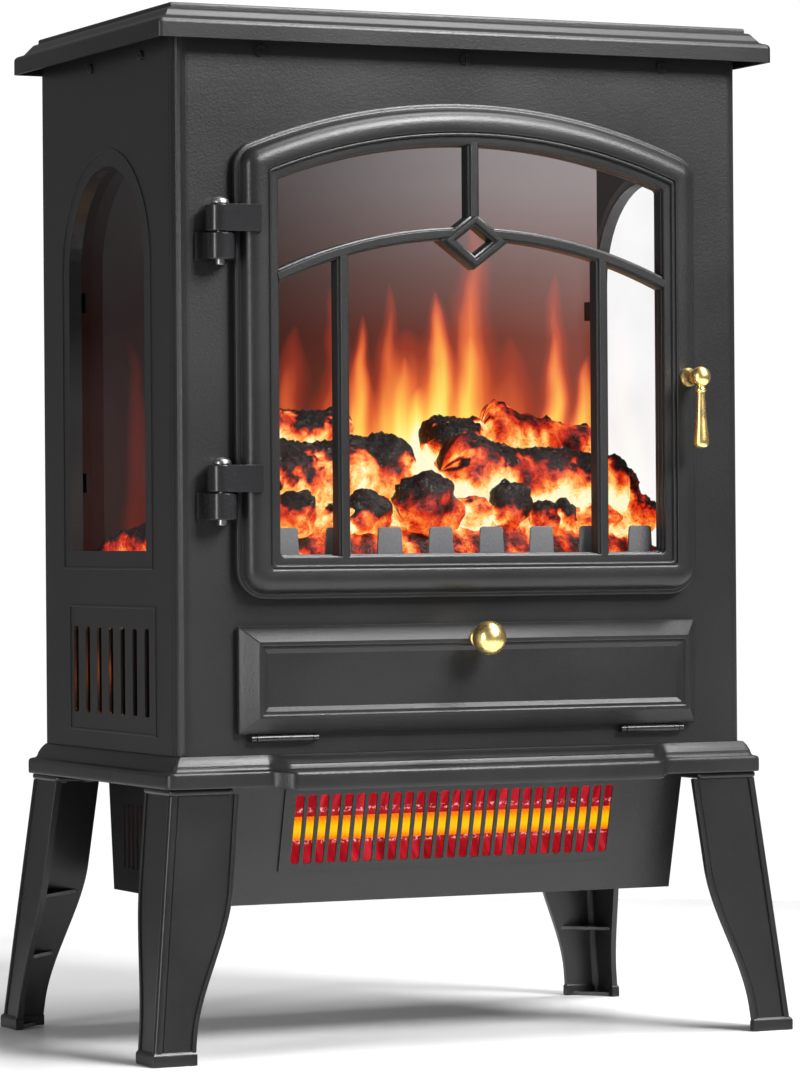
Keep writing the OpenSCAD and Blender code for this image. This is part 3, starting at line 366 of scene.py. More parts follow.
HEAT = [
    (0.0, (0.003, 0.002, 0.002)),
    (0.22, (0.012, 0.002, 0.001)),
    (0.34, (0.16, 0.004, 0.002)),
    (0.46, (0.6, 0.018, 0.004)),
    (0.58, (0.88, 0.09, 0.012)),
    (0.7, (1.0, 0.28, 0.04)),
    (0.82, (1.0, 0.6, 0.15)),
    (0.92, (1.0, 0.84, 0.36)),
    (1.0, (1.0, 0.95, 0.62)),
]


def burning(name, wrinkles):
    """Resin moulded and painted as burning wood, lit from inside. The mesh says how hot each point is."""
    s = Shading(name)
    painted_heat = s.node("ShaderNodeAttribute", attribute_name="warmth").outputs["Fac"]
    patches = s.noise(75.0, 4.0, 0.6, distortion=0.4)
    crinkle = s.noise(260.0, 5.0, 0.68)
    fold = s.noise(120.0, 3.0, 0.6, distortion=1.2)
    crease = s.spread(s.sums("ABSOLUTE", s.sums("SUBTRACT", fold, 0.5)), 0.0, 0.045, 1.0, 0.0)
    heat = s.sums("ADD", painted_heat, s.spread(patches, 0.25, 0.75, -0.2, 0.2, False))
    heat = s.sums("ADD", heat, s.spread(crinkle, 0.25, 0.75, -0.1, 0.08, False))
    heat = s.sums("SUBTRACT", heat, s.sums("MULTIPLY", crease, wrinkles), clamp=True)
    # Grey specks on up-facing char: partly ash, partly painted glints where light from above catches the
    # crust
    ash_and_glints = s.spread(s.sums("MULTIPLY", s.noise(330.0, 4.0, 0.75), s.upward()), 0.53, 0.62)
    shade = s.mix(ash_and_glints, (0.006, 0.005, 0.004), (0.4, 0.39, 0.36))
    s.bump(s.sums("SUBTRACT", crinkle, s.sums("MULTIPLY", crease, 0.25)), 0.9, 1.8)
    glow = s.ramp(heat, HEAT)
    gloss = s.spread(crinkle, 0.3, 0.7, 0.22, 0.46)
    return s.finish(color=shade, roughness=gloss, specular=0.35, glow=glow, glow_strength=1.0)


# Flames on the screen: middle, foot, height, half width, lean to the right, and strength
TONGUES = [
    (-138, 320, 135, 14, -4, 0.16),
    (-110, 335, 95, 17, 4, 0.24),
    (-82, 340, 115, 15, -4, 0.32),
    (-35, 330, 106, 20, 5, 0.5),
    (-5, 335, 126, 13, 2, 0.46),
    (13, 330, 112, 12, -2, 0.92),
    (32, 340, 124, 14, 2, 0.58),
    (43, 310, 106, 22, 3, 1.0),
    (57, 295, 102, 21, 0, 1.35),
    (72, 320, 138, 17, -5, 1.08),
    (94, 330, 176, 22, -3, 0.66),
    (96, 320, 110, 19, -4, 0.92),
    (120, 330, 102, 24, 0, 0.5),
    (149, 330, 102, 13, 3, 0.88),
    (153, 350, 122, 12, 2, 0.54),
    (172, 330, 88, 16, 6, 0.98),
    (48, 280, 155, 60, 0, 0.68),
]
FLAME_BLEND = 2.2  # how strongly the brightest of the flames that cross wins over the others


def tongue_group():
    """Node group for one flame: it is strong inside a leaning teardrop and fades out around it."""
    group = bpy.data.node_groups.new("flame_tongue", "ShaderNodeTree")
    for name in ("Across", "Up", "Middle", "Foot", "Height", "Half width", "Lean", "Strength"):
        group.interface.new_socket(name, in_out="INPUT", socket_type="NodeSocketFloat")
    group.interface.new_socket("Flame", in_out="OUTPUT", socket_type="NodeSocketFloat")
    given = group.nodes.new("NodeGroupInput").outputs

    def sums(operation, a, b=0.0, clamp=False):
        made = group.nodes.new("ShaderNodeMath")
        made.operation = operation
        made.use_clamp = clamp
        for socket, value in zip(made.inputs, (a, b)):
            if isinstance(value, bpy.types.NodeSocket):
                group.links.new(value, socket)
            else:
                socket.default_value = value
        return made.outputs[0]

    rise = sums("DIVIDE", sums("SUBTRACT", given["Up"], given["Foot"]), given["Height"], clamp=True)
    left = sums("SUBTRACT", 1.0, rise)
    wide = sums("MULTIPLY", given["Half width"], sums("POWER", left, 0.55))
    wide = sums("MAXIMUM", wide, 1.5)
    line = sums("ADD", given["Middle"], sums("MULTIPLY", given["Lean"], sums("POWER", rise, 1.6)))
    off = sums("DIVIDE", sums("SUBTRACT", given["Across"], line), wide)
    body = sums("EXPONENT", sums("MULTIPLY", sums("POWER", sums("ABSOLUTE", off), 2.0), -0.9))
    fade = sums("POWER", left, 0.4)
    flame = sums("MULTIPLY", sums("MULTIPLY", body, fade), given["Strength"])
    group.links.new(flame, group.nodes.new("NodeGroupOutput").inputs["Flame"])
    return group


def flame_sheet():
    """Screen behind the logs, all painted light: red glow by the embers, shade painted to the left, soft
    flames.
    """
    s = Shading("flame_screen")
    across, up = s.axis("X"), s.axis("Z")
    sway = s.spread(s.noise(1.0, 1.0, 0.5, s.scaled(16.0, 1.0, 15.0)), 0.2, 0.8, -8.0, 8.0, False)
    flick = s.spread(s.noise(1.0, 1.0, 0.5, s.scaled(60.0, 1.0, 30.0)), 0.2, 0.8, -2.0, 2.0, False)
    across_bent = s.sums("ADD", across, s.sums("ADD", sway, flick))
    group = tongue_group()
    total = None
    for middle, foot, height, half, lean, strength in TONGUES:
        inputs = {"Across": across_bent, "Up": up, "Middle": middle, "Foot": foot}
        inputs.update({"Height": height, "Half width": half, "Lean": lean, "Strength": strength})
        flame = s.node("ShaderNodeGroup", inputs, node_tree=group)
        power = s.sums("POWER", flame.outputs[0], FLAME_BLEND)
        total = power if total is None else s.sums("ADD", total, power)
    total = s.sums("POWER", total, 1 / FLAME_BLEND)
    streaks = s.spread(s.noise(1.0, 2.0, 0.5, s.scaled(90.0, 1.0, 8.0)), 0.3, 0.7, 0.9, 1.06)
    total = s.sums("MULTIPLY", total, streaks)
    # Painted light on the screen: a red glow low down by the embers, greyer higher up
    painted_screen_light = s.ramp(
        s.spread(up, 300.0, 580.0, smoothly=False),
        [
            (0.0, (0.32, 0.025, 0.006)),
            (0.3, (0.26, 0.035, 0.014)),
            (0.46, (0.2, 0.05, 0.034)),
            (0.6, (0.22, 0.125, 0.112)),
            (0.8, (0.31, 0.265, 0.265)),
            (1.0, (0.33, 0.31, 0.315)),
        ],
    )
    # Painted shade: the screen's glow is darker towards the left
    shadow = s.spread(across, -150.0, 190.0, 0.05, 1.05)
    shade = s.node("ShaderNodeCombineXYZ", {0: shadow, 1: shadow, 2: shadow}).outputs[0]
    painted_screen_light = s.mix(1.0, painted_screen_light, shade, "MULTIPLY")
    fire = s.ramp(
        total,
        [
            (0.08, (0.0, 0.0, 0.0)),
            (0.26, (0.2, 0.012, 0.003)),
            (0.42, (0.7, 0.1, 0.02)),
            (0.56, (0.95, 0.26, 0.045)),
            (0.7, (1.0, 0.48, 0.07)),
            (0.82, (1.0, 0.74, 0.12)),
            (0.92, (1.0, 0.9, 0.26)),
            (1.0, (1.0, 0.98, 0.66)),
        ],
    )
    glow = s.mix(1.0, painted_screen_light, fire, "SCREEN")
    s.bump(s.noise(60.0, 2.0), 0.03, 0.05)
    return s.finish(color=(0.01, 0.008, 0.008), roughness=0.5, specular=0.05, glow=glow, glow_strength=1.0)


def quartz():
    """The heating tube: a hot coil seen through milky quartz."""
    s = Shading("quartz")
    turns = {"Vector": s.place, "Scale": 110.0, "Distortion": 0.6}
    coil = s.node("ShaderNodeTexWave", turns).outputs["Fac"]
    tube_lo, tube_hi = corners("quartz_tube")
    height = s.spread(s.axis("Z"), tube_lo.z, tube_hi.z)
    middle = s.sums("SUBTRACT", 1.0, s.sums("ABSOLUTE", s.sums("MULTIPLY_ADD", height, 2.0, -1.0)))
    hot = s.sums("MULTIPLY_ADD", coil, 0.12, middle)
    glow = s.ramp(hot, [(0.0, (0.9, 0.13, 0.005)), (0.3, (1.0, 0.4, 0.004)), (0.75, (1.0, 0.56, 0.004))])
    return s.finish(color=(0.2, 0.05, 0.005), roughness=0.4, specular=0.1, glow=glow, glow_strength=1.0)


def reflector():
    """Polished trough, red-tinted, with the tube painted on as reflection: glowing red streaks and glints by
    its edges.
    """
    s = Shading("reflector")
    streaks = s.noise(1.0, 4.0, 0.65, s.scaled(150.0, 12.0, 12.0))
    # Painted reflection of the tube: glowing dark red streaks
    reflection_reds = [(0.3, (0.16, 0.002, 0.006)), (0.5, (0.34, 0.006, 0.014)), (0.72, (0.62, 0.03, 0.045))]
    glow = s.ramp(streaks, reflection_reds)
    tube_lo, tube_hi = corners("quartz_tube")
    off = s.sums("ABSOLUTE", s.sums("SUBTRACT", s.axis("Z"), (tube_lo.z + tube_hi.z) / 2))
    edge = s.sums("MULTIPLY", s.spread(off, 7.5, 8.6), s.spread(off, 10.0, 11.2, 1.0, 0.0))
    # Painted glints: small pink highlights along the tube's edges
    painted_glints = s.spread(s.noise(420.0, 2.0, 0.7), 0.5, 0.62)
    glow = s.mix(s.sums("MULTIPLY", edge, painted_glints), glow, (0.95, 0.4, 0.42))
    s.bump(streaks, 0.2, 0.1)
    return s.finish(color=(0.16, 0.03, 0.035), roughness=0.3, metallic=1.0, glow=glow, glow_strength=1.0)


def ceramic():
    """Unglazed white ceramic with specks."""
    s = Shading("ceramic")
    specks = s.spread(s.cells(900.0), 0.08, 0.16)
    shade = s.mix(specks, (0.5, 0.46, 0.4), (0.82, 0.79, 0.73))
    s.bump(s.noise(600.0, 4.0), 0.25, 0.1)
    return s.finish(color=shade, roughness=0.75)


def circuit_board():
    """Green laminate with copper runs under its mask."""
    s = Shading("circuit_board")
    grid = {"Vector": s.place, "Scale": 160.0, "Mortar Size": 0.03}
    runs = s.node("ShaderNodeTexBrick", grid).outputs["Fac"]
    shade = s.mix(runs, (0.012, 0.09, 0.035), (0.06, 0.2, 0.07))
    s.bump(runs, 0.3, 0.05)
    return s.finish(color=shade, roughness=s.spread(s.noise(90.0), 0.3, 0.7, 0.3, 0.45))


finishes = {
    "cabinet_paint": painted("cabinet_paint", (0.011, 0.011, 0.0113), (0.0155, 0.0155, 0.0158), 0.35, 0.3),
    "leg_black": painted("leg_black", (0.009, 0.009, 0.0095), (0.013, 0.013, 0.0135), 0.3, 0.14, 700.0),
    "hardware_black": painted(
        "hardware_black", (0.01, 0.01, 0.011), (0.015, 0.015, 0.016), 0.24, 0.1, 900.0
    ),
    "zinc": bare_metal("zinc", (0.3, 0.3, 0.31), (0.44, 0.44, 0.45), 0.36),
    "brass": brass(),
    "clear_glass": window_pane(),
    "flame_screen": flame_sheet(),
    "ember_resin": burning("ember_resin", 0.16),
    "log_resin": burning("log_resin", 0.12),
    "grey_steel": painted("grey_steel", (0.09, 0.09, 0.094), (0.12, 0.12, 0.124), 0.5, 0.2, 800.0),
    "circuit_board": circuit_board(),
    "black_plastic": moulded("black_plastic", (0.012, 0.012, 0.013), (0.02, 0.02, 0.021), 0.42),
    "quartz": quartz(),
    "ceramic": ceramic(),
    "reflector": reflector(),
}
for part in frame["record"]["subparts"]:
    node_mesh = frame["nodes"][part["node"]].data
    node_mesh.materials.clear()
    node_mesh.materials.append(finishes[part["material_slot"]])


def soften(node, width):
    """Welds a CAD node that stays in view and rounds its edges with modifiers."""
    obj = frame["nodes"][node]
    weld = obj.modifiers.new("welded", "WELD")
    weld.merge_threshold = 0.01 * MM
    flat = obj.modifiers.new("flat_faces", "DECIMATE")
    flat.decimate_type = "DISSOLVE"
    flat.angle_limit = math.radians(0.5)
    bevel(obj, width)


# ---- Top cover ----

COVER_WALL = 2.0
COVER_TALL = 21.3
cover_z = cover_hi.z - COVER_TALL
COVER_EDGE = (
    [(0, 0), (0, 0), (0, 8.3)]
    + arc(3, 8.3, 3, 180, 90, 6)
    + [(3.2, 11.35), (5, 12.1), (5, 12.1), (9.5, 17.4), (9.5, 17.4)]
    + [(10.5, 18.1), (12.2, 18.35), (12.2, 18.35)]
    + [(12.25, 20.2), (12.6, 21.1), (13.6, 21.3), (13.6, 21.3)]
)


def cover_ring(inset, height, r):
    """The cover's outline at an inset and a height over its lower edge."""
    x0, y0 = cover_lo.x + inset, cover_lo.y + inset
    x1, y1 = cover_hi.x - inset, cover_hi.y - inset
    outline = round_rect(x0, y0, x1, y1, max(r - inset * 0.25, 0.4))
    return [(x, y, cover_z + height) for x, y in outline]


def top_cover():
    """A pressed lid with a moulded rim, open underneath."""
    lid = Solid()
    inner = [(COVER_WALL + 13, COVER_TALL - COVER_WALL), (COVER_WALL + 10, 16.2)]
    inner += [(COVER_WALL, 8), (COVER_WALL, 0)]
    rings = [cover_ring(d, h, 3) for d, h in inner]
    rings += [cover_ring(d, h, 3) for d, h in rounded(COVER_EDGE, 1)]
    lid.loft(rings)
    piece("lid", lid, "cabinet", "cabinet_paint", ["top_cover"], crease=50)


# ---- Base plate ----

plate_over = (plate_hi.x - side_x, front_y - plate_lo.y, plate_hi.y - back_y)
BOW_OUT = 12.0
BOW_HALF = 132.0
BOW_SLOPE = 14.0
plate_front = plate_over[1] - BOW_OUT
# The moulded edge, as its share of the overhang and its drop under the deck
PLATE_EDGE = [(-0.1, 0), (0.08, 0), (0.08, 0), (0.3, 2.2), (0.48, 5.4), (0.48, 5.4), (0.54, 7.4), (0.62, 8.5)]
PLATE_EDGE += [(0.8, 8.9), (0.93, 9.3), (0.99, 10.4), (1, 12), (1, 17.4), (0.97, 18.3), (0.9, 18.3)]
PLATE_EDGE += [(0.9, 18.3), (0.7, 18.3), (0.66, 17), (0.66, 12), (0.2, 11.2), (0.2, 3.2), (-0.1, 3.2)]
BOW_STEPS = 16
PAD = 40  # the side of the square pad over each leg
PAD_IN = 3  # how far the pads stay inside the plate's edge


def plate_ring(f, drop):
    """The base plate's plan where its edge stands out by f times its full overhang."""
    x = side_x + f * plate_over[0]
    y0 = front_y - f * plate_front
    y1 = back_y + f * plate_over[2]
    r = 1 + 4 * max(f, 0)
    bow = []
    for i in range(BOW_STEPS + 1):
        out = (1 - math.cos(math.pi * i / BOW_STEPS)) / 2
        bow.append((BOW_HALF - BOW_SLOPE * i / BOW_STEPS, y0 - max(f, 0) * BOW_OUT * out, out))
    ring = [(px, py, 0) for px, py in arc(x - r, y1 - r, r, 90, 0, 5) + arc(x - r, y0 + r, r, 0, -90, 5)]
    ring += bow + [(-px, py, out) for px, py, out in reversed(bow)]
    left = arc(r - x, y0 + r, r, -90, -180, 5) + arc(r - x, y1 - r, r, 180, 90, 5)
    ring += [(px, py, 0) for px, py in left]
    low = max(0.0, (drop - 11) / 7.3)
    return [(px, py, deck_z - drop - 2 * out * low) for px, py, out in ring]


def base_plate():
    """The cast plate under the cabinet, with a bowed front and a moulded edge."""
    plate = Solid()
    plate.loft([plate_ring(f, d) for f, d in rounded(PLATE_EDGE, 1)], wrap=True)
    x0, y0 = side_x - 0.5, front_y + 0.5
    hole_x, hole_y0, hole_y1 = 100, cab_y - 10, cab_y + 50
    for lo, hi in (
        ((-x0, y0), (x0, hole_y0)),
        ((-x0, hole_y1), (x0, back_y - 0.5)),
        ((-x0, hole_y0), (-hole_x, hole_y1)),
        ((hole_x, hole_y0), (x0, hole_y1)),
    ):
        plate.box((*lo, deck_z - 2.6), (*hi, deck_z - 0.1))
    pad_lo, pad_hi = plate_lo.z + 2, plate_lo.z + 7
    for sx in (-1, 1):
        for ya, yb in ((plate_lo.y + BOW_OUT + PAD_IN, PAD + 3), (plate_hi.y - PAD_IN, -PAD)):
            xs = sorted((sx * (plate_hi.x - PAD_IN), sx * (plate_hi.x - PAD_IN - PAD)))
            ys = sorted((ya, ya + yb))
            plate.box((xs[0], ys[0], pad_lo), (xs[1], ys[1], pad_hi))
    piece("plinth", plate, "cabinet", "cabinet_paint", ["base_plate"], crease=50)


# ---- Legs ----

COLLAR = 3.9
COLLAR_HALF = (20, 21)
FOOT = (27.0, 27.5, 8.0)
FOOT_WALL = 5.0
WEBS = [(82.0, 2.0), (44.0, 2.0), (0.0, 2.5)]  # height and thickness
LEG_STEPS = 44
leg_top = leg_hi.z - COLLAR
WALL = 3.0


def leg_section(wide_x, wide_y, bead=0.9):
    """An L-shaped section with its corner at the origin and beads along its corner and free edges."""
    lip = [(0.0, -0.6), (0.05, 0.5), (0.5, bead), (2.3, bead), (2.7, 0.6)]
    lip += [(2.8, -0.4), (3.5, -0.4), (4.0, 0.0)]
    near = [(-4.8, 0.0), (-4.3, -0.4), (-3.7, -0.4), (-3.5, bead * 0.7), (-3.0, bead)]
    face = [(-wide_x + u, v) for u, v in lip] + near
    corner = arc(-1.6, -1.6, 1.6 + bead, 90, 0, 6)
    side = [(y, x) for x, y in reversed(near)]
    side += [(v, -wide_y + u) for u, v in reversed(lip)]
    inside = [(-WALL, -wide_y), (-WALL, -6.0), (-4.2, -4.2), (-6.0, -WALL), (-wide_x, -WALL)]
    return face + corner + side + inside


def leg(name, sx, sy):
    """A cast leg that leans outwards from its collar to its foot."""
    lo, hi = corners(name)
    foot_x = max(abs(lo.x), abs(hi.x))
    foot_y = max(sy * lo.y, sy * hi.y)
    top_x = plate_hi.x - 3.9
    top_y = -(front_y - plate_front) - 3.9 if sy < 0 else plate_hi.y - 3.9
    low_x, low_y = foot_x - 1.0, foot_y - 1.0
    cast = Solid()

    def skin(layers):
        """Lofts (outline, height) layers, mirrored to this leg's corner of the stove."""
        cast.loft([[(sx * x, sy * y, z) for x, y in outline] for outline, z in layers])

    def flare(z):
        """The outer corner and the widths of the two flanges at a height."""
        share = 1 - z / leg_top
        grow = smooth((z - 15) / 85)
        corner = (top_x + (low_x - top_x) * share, top_y + (low_y - top_y) * share)
        return *corner, 25 + 17 * grow, 25.5 + 14 * grow

    layers = []
    for i in range(LEG_STEPS + 1):
        z = leg_top * (1 - i / LEG_STEPS)
        cx, cy, wide_x, wide_y = flare(z)
        layers.append(([(cx + x, cy + y) for x, y in leg_section(wide_x, wide_y)], z))
    skin(layers)
    layers = []
    for d, z in ((0.5, 0.0), (0.0, 0.5), (0.0, FOOT[2] - 2.0), (0.5, FOOT[2] - 0.7), (1.2, FOOT[2])):
        near, far_x, far_y, wall = -d, d - FOOT[0], d - FOOT[1], d - FOOT_WALL
        angle = [(near, near), (far_x, near), (far_x, wall), (wall, wall), (wall, far_y), (near, far_y)]
        layers.append(([(foot_x + x, foot_y + y) for x, y in angle], z))
    skin(layers)
    mid = (top_x - 18.7, top_y - 19.7)
    layers = []
    for d, z in ((1.4, 0.0), (0.4, 0.4), (0.0, 1.3), (0.0, 2.7), (0.4, 3.5), (1.4, COLLAR)):
        hx, hy = COLLAR_HALF
        outline = round_rect(mid[0] - hx + d, mid[1] - hy + d, mid[0] + hx - d, mid[1] + hy - d, 2.5, 4)
        layers.append((outline, leg_top + z))
    skin(layers)
    for z, thick in WEBS:
        cx, cy, wide_x, wide_y = flare(z)
        web = [(cx - 1, cy - 1), (cx + 1 - wide_x, cy - 1), (cx - 1, cy + 1 - wide_y)]
        skin([(web, z), (web, z + thick)])
    piece(name + "_casting", cast, "cabinet", "leg_black", [name], crease=30)


# ---- Door ----

DOOR_R = 382.0
ARCH_Z = door_hi.z - DOOR_R


def arched(w, zb, ar, rb, rt, corner=8, crown=44):
    """Flat-bottomed outline with an arched top, in X and Z."""
    fz = ARCH_Z + math.sqrt((ar - rt) ** 2 - (w - rt) ** 2)
    a = math.degrees(math.atan2(fz - ARCH_Z, w - rt))
    return (
        arc(w - rb, zb + rb, rb, -90, 0, corner)
        + arc(w - rt, fz, rt, 0, a, corner)
        + arc(0, ARCH_Z, ar, a, 180 - a, crown)[1:-1]
        + arc(rt - w, fz, rt, 180 - a, 180, corner)
        + arc(rb - w, zb + rb, rb, 180, 270, corner)
    )


def at_front(outline, t):
    """Stands an outline t millimetres in front of the cabinet's front."""
    return [(x, front_y - t, z) for x, z in outline]


def door_outline(d):
    """The door's outline inset by d."""
    return arched(door_hi.x - d, door_lo.z + d, DOOR_R - d, max(18 - d, 3.0), max(14 - d, 2.5))


# The frame's section, as inset from its outline and height off the cabinet: the edge, the swell and the
# groove, and then the band round the glass
DOOR_EDGE = [(0, 3), (0, 3), (0, 5.6), (0.5, 6.3), (2.8, 6.5), (3.1, 6.9), (3.2, 8.6), (4.2, 11.6)]
DOOR_EDGE += [(6.4, 14.2), (9.8, 15.7), (13.2, 16), (16.6, 15.8), (17.4, 15.3), (17.5, 14.2), (17.7, 14.2)]
DOOR_EDGE += [(18.6, 14.9), (19.6, 14.6), (20, 12.7), (20, 12.7), (24.1, 12.6), (24.5, 12.3), (24.5, 12.3)]
DOOR_EDGE += [(24.5, 10), (24.5, 10), (25.2, 9.7), (25.2, 6.6), (25.2, 6.6), (25.9, 6.3)]
DOOR_EDGE += [(25.9, 3), (25.9, 3)]
STILE = 24.5


def door_frame():
    """The cast door frame, with a swelling edge, a groove and a raised band round the glass."""
    rim = Solid()
    rim.loft([at_front(door_outline(d), t) for d, t in rounded(DOOR_EDGE, 2)], wrap=True)
    piece("door_casting", rim, "door", "cabinet_paint", ["door_frame"], crease=40)


CROSS_R = 305.0
UPRIGHT_X = 85.0
DIAMOND = (23.0, 17.0)
DIAMOND_Z = 476.0
BAR = [(-3.8, 3), (-3.8, 3), (-3.8, 10.4), (-3.6, 11.0), (-2.7, 11.2), (-2.5, 11.4)]
BAR += [(-2.3, 12.6), (-1.9, 13.0)]
BAR += [(-x, t) for x, t in reversed(BAR)]


def door_tracery():
    """Bars over the glass: a cross arch, two uprights, a short top bar and a pierced diamond."""
    bars = Solid()
    first = math.asin((DIAMOND[0] - 11) / CROSS_R)
    last = math.asin((door_hi.x - STILE + 0.4) / CROSS_R)
    for side in (-1, 1):
        rings = []
        for i in range(31):
            turn = first + (last - first) * i / 30
            x, z = side * math.sin(turn), math.cos(turn)
            rings.append([((CROSS_R + u) * x, front_y - t, ARCH_Z + (CROSS_R + u) * z) for u, t in BAR])
        bars.loft(rings)
    join = ARCH_Z + math.sqrt(CROSS_R**2 - UPRIGHT_X**2)
    spans = [(-UPRIGHT_X, door_lo.z + STILE - 1, join), (UPRIGHT_X, door_lo.z + STILE - 1, join)]
    spans.append((0, DIAMOND_Z + DIAMOND[1] - 4, door_hi.z - STILE + 1))
    for x, z0, z1 in spans:
        bars.loft([[(x + u, front_y - t + 0.2, z) for u, t in BAR] for z in (z0, z1)])
    ring = []
    section = [(-9.5, 3), (-9.5, 3), (-9.5, 11.2), (-9.0, 12.0), (-7.6, 12.4), (-7.2, 13.6), (-6.4, 14.2)]
    section += [(-3.4, 14.2), (-2.6, 13.6), (-2.2, 12.4), (-0.4, 12.0), (0, 11.2), (0, 3), (0, 3)]
    reach = math.hypot(*DIAMOND)
    for u, t in section:
        a, b = DIAMOND[0] + u * reach / DIAMOND[1] * 0.72, DIAMOND[1] + u * reach / DIAMOND[0] * 0.72
        points = [(a, 0), (0, b), (-a, 0), (0, -b)]
        ring.append([(x, front_y - t, DIAMOND_Z + z) for x, z in points])
    bars.loft(ring, wrap=True)
    piece("door_bars", bars, "door", "cabinet_paint", ["door_tracery"], edge=0.25, crease=40)


# ---- Hinges and door furniture ----


def hinges():
    """Two lift-off hinges: fixed knuckles under moving ones, on domed pins."""
    fixed, moving, pins = Solid(), Solid(), Solid()
    bracket_lo, bracket_hi = corners("hinge_brackets")
    arm_hi = corners("hinge_arms")[1]
    knuckle_r, pin_r, tall, gap = 8.5, 2.6, 15.6, 0.5
    plate_in, dome_r = 12.5, 5.4
    x, y = bracket_lo.x + plate_in, front_y - 9
    for base in (bracket_lo.z, bracket_hi.z - tall):
        up = base + tall + gap
        for solid, z in ((fixed, base), (moving, up)):
            ring = [(pin_r, 0), (pin_r, 0), (knuckle_r - 0.7, 0), (knuckle_r, 0.7), (knuckle_r, tall - 0.7)]
            ring += [(knuckle_r - 0.7, tall), (pin_r, tall), (pin_r, tall)]
            solid.lathe(ring, (x, y, z))
        fixed.box((x - knuckle_r, y, base), (x + knuckle_r, front_y, base + tall))
        fixed.box((x - plate_in, front_y - 2.5, base), (x + 10, front_y, base + tall))
        moving.box((x, front_y - 17.5, up), (arm_hi.x, front_y - 14, up + tall))
        head = [(0, -3), (pin_r - 0.4, -3), (pin_r, -2.6), (pin_r, 2 * tall + gap + 0.4)]
        top = 2 * tall + gap
        head += [(dome_r - 0.4, top + 0.4), (dome_r, top + 0.8)]
        for a in (0.15, 0.45, 0.75, 1.05, 1.3, 1.5):
            head.append((dome_r * math.cos(a), top + 1.4 + 3.0 * math.sin(a)))
        pins.lathe(head, (x, y, base), n=32)
    piece("hinge_knuckles_fixed", fixed, "cabinet", "hardware_black", ["hinge_brackets"], edge=0.6)
    piece("hinge_knuckles_moving", moving, "door", "hardware_black", ["hinge_arms"], edge=0.6)
    piece("hinge_pin_set", pins, "cabinet", "zinc", ["hinge_pins"])


def handle():
    """The brass latch: a stepped post, a ball and a hanging drop."""
    lo, hi = corners("door_handle")
    x, ball_z, ball_y, ball_r = (lo.x + hi.x) / 2, hi.z - 6, lo.y + 6, 6.0
    latch = Solid()
    post = [(0, 0.4), (5, 0.4), (5, 2.6), (3, 2.6), (3, 16.4), (5.4, 16.4), (5.8, 17.2), (5.4, 18.4)]
    post += [(4.4, 19.4), (4.0, 24), (4.4, 27), (5.0, 28)]
    latch.lathe(post, (x, front_y, ball_z), "-Y", 36)
    latch.lathe(arc(0, 0, ball_r, -89, 89, 20), (x, ball_y, ball_z), n=36)
    drop = [(2.4, -3), (2.4, -6.6), (3.2, -7.4), (3.3, -8.4), (2.5, -9.4), (2.6, -14), (3.3, -26)]
    drop += [(4.6, -37), (4.7, -39.5), (4.1, -41.6), (2.6, -42.7), (0, -43)]
    latch.lathe(rounded([(r, z) for r, z in drop], 2), (x, ball_y, ball_z), n=36)
    piece("latch", latch, "handle", "brass", ["door_handle"], crease=60)


# ---- Control flap ----

# The flap's section, as inset from its outline and height off the cabinet
FLAP_EDGE = [(0, 2), (0, 2), (0, 4.2), (0.5, 5), (8.3, 13.2), (9, 14), (9, 14), (11, 14), (11.4, 13.6)]
FLAP_EDGE += [(11.4, 13.6), (11.8, 12.6), (11.8, 12.6), (13.2, 12.6), (13.2, 12.6)]
FLAP_EDGE += [(15.8, 10.7), (15.8, 10.7)]


def flap():
    """The drop-down flap: a chamfered panel with a sunk, grooved field."""

    def ring(d, t):
        box = round_rect(flap_lo.x + d, flap_lo.z + d, flap_hi.x - d, flap_hi.z - d, 0.8, 2)
        return at_front(box, t)

    front = Solid()
    front.loft([ring(3, 4.5), ring(3, 2)] + [ring(d, t) for d, t in rounded(FLAP_EDGE, 1)])
    piece("flap_casting", front, "flap", "cabinet_paint", ["flap_panel"], crease=40)


def flap_knob():
    """The flap's brass knob."""
    lo, hi = corners("flap_knob")
    knob = Solid()
    profile = [(0, 7.5), (2.5, 7.5), (2.5, 14), (6, 14), (6.3, 14.7), (6, 15.6), (4.6, 16.6), (4, 18.2)]
    profile += [(4.4, 19.6)] + arc(0, 28, 10, -58, 89, 26)
    knob.lathe(profile, ((lo.x + hi.x) / 2, front_y, (lo.z + hi.z) / 2), "-Y", 56)
    piece("knob", knob, "flap", "brass", ["flap_knob"], crease=60)


# ---- Fire ----


def wobble(p, scale, depth, octaves=4):
    """Fractal shift of a point, in millimetres."""
    return depth * noise.fractal(Vector(p) / scale, 1.0, 2.1, octaves)


# Logs: ends as x, depth behind the front and height, the radius at each end, how warm the body is, and
# how high its charred crust starts
LOGS = [
    ((-104, 108, 364), (-34, 106, 364), 15, 14, 0.7, 0.6),
    ((-126, 62, 330), (-14, 76, 339), 25, 23, 0.64, 0.4),
    ((74, 114, 362), (134, 112, 354), 19, 15, 0.5, 1.3),
    ((32, 108, 357), (62, 114, 361), 13, 12, 0.66, 0.4),
    ((22, 58, 340), (126, 58, 328), 23, 20, 0.6, 0.6),
    ((122, 60, 326), (152, 54, 312), 15, 10, 0.54, 0.6),
    ((-158, 170, 290), (-140, 120, 306), 11, 13, 0.62, 0.6),
]
# Coals: x, depth behind the front, height, radii, how warm the face is and how high its char starts
COALS = [
    (-11, 30, 320, 20, 14, 17, 0.47, 0.52),
    (43, 30, 321, 12, 11, 15, 0.5, 0.0),
    (22, 37, 316, 15, 12, 12, 0.74, 0.9),
    (66, 30, 313, 10, 8, 10, 0.5, 0.4),
    (81, 30, 314, 6, 7, 9, 0.5, 0.2),
    (-51, 30, 316, 15, 11, 14, 0.5, 0.05),
    (-69, 35, 312, 12, 10, 11, 0.7, 0.7),
    (-100, 33, 314, 16, 11, 14, 0.6, 0.5),
    (107, 37, 311, 15, 10, 10, 0.7, 0.9),
    (137, 58, 332, 9, 9, 11, 0.3, -0.5),
]


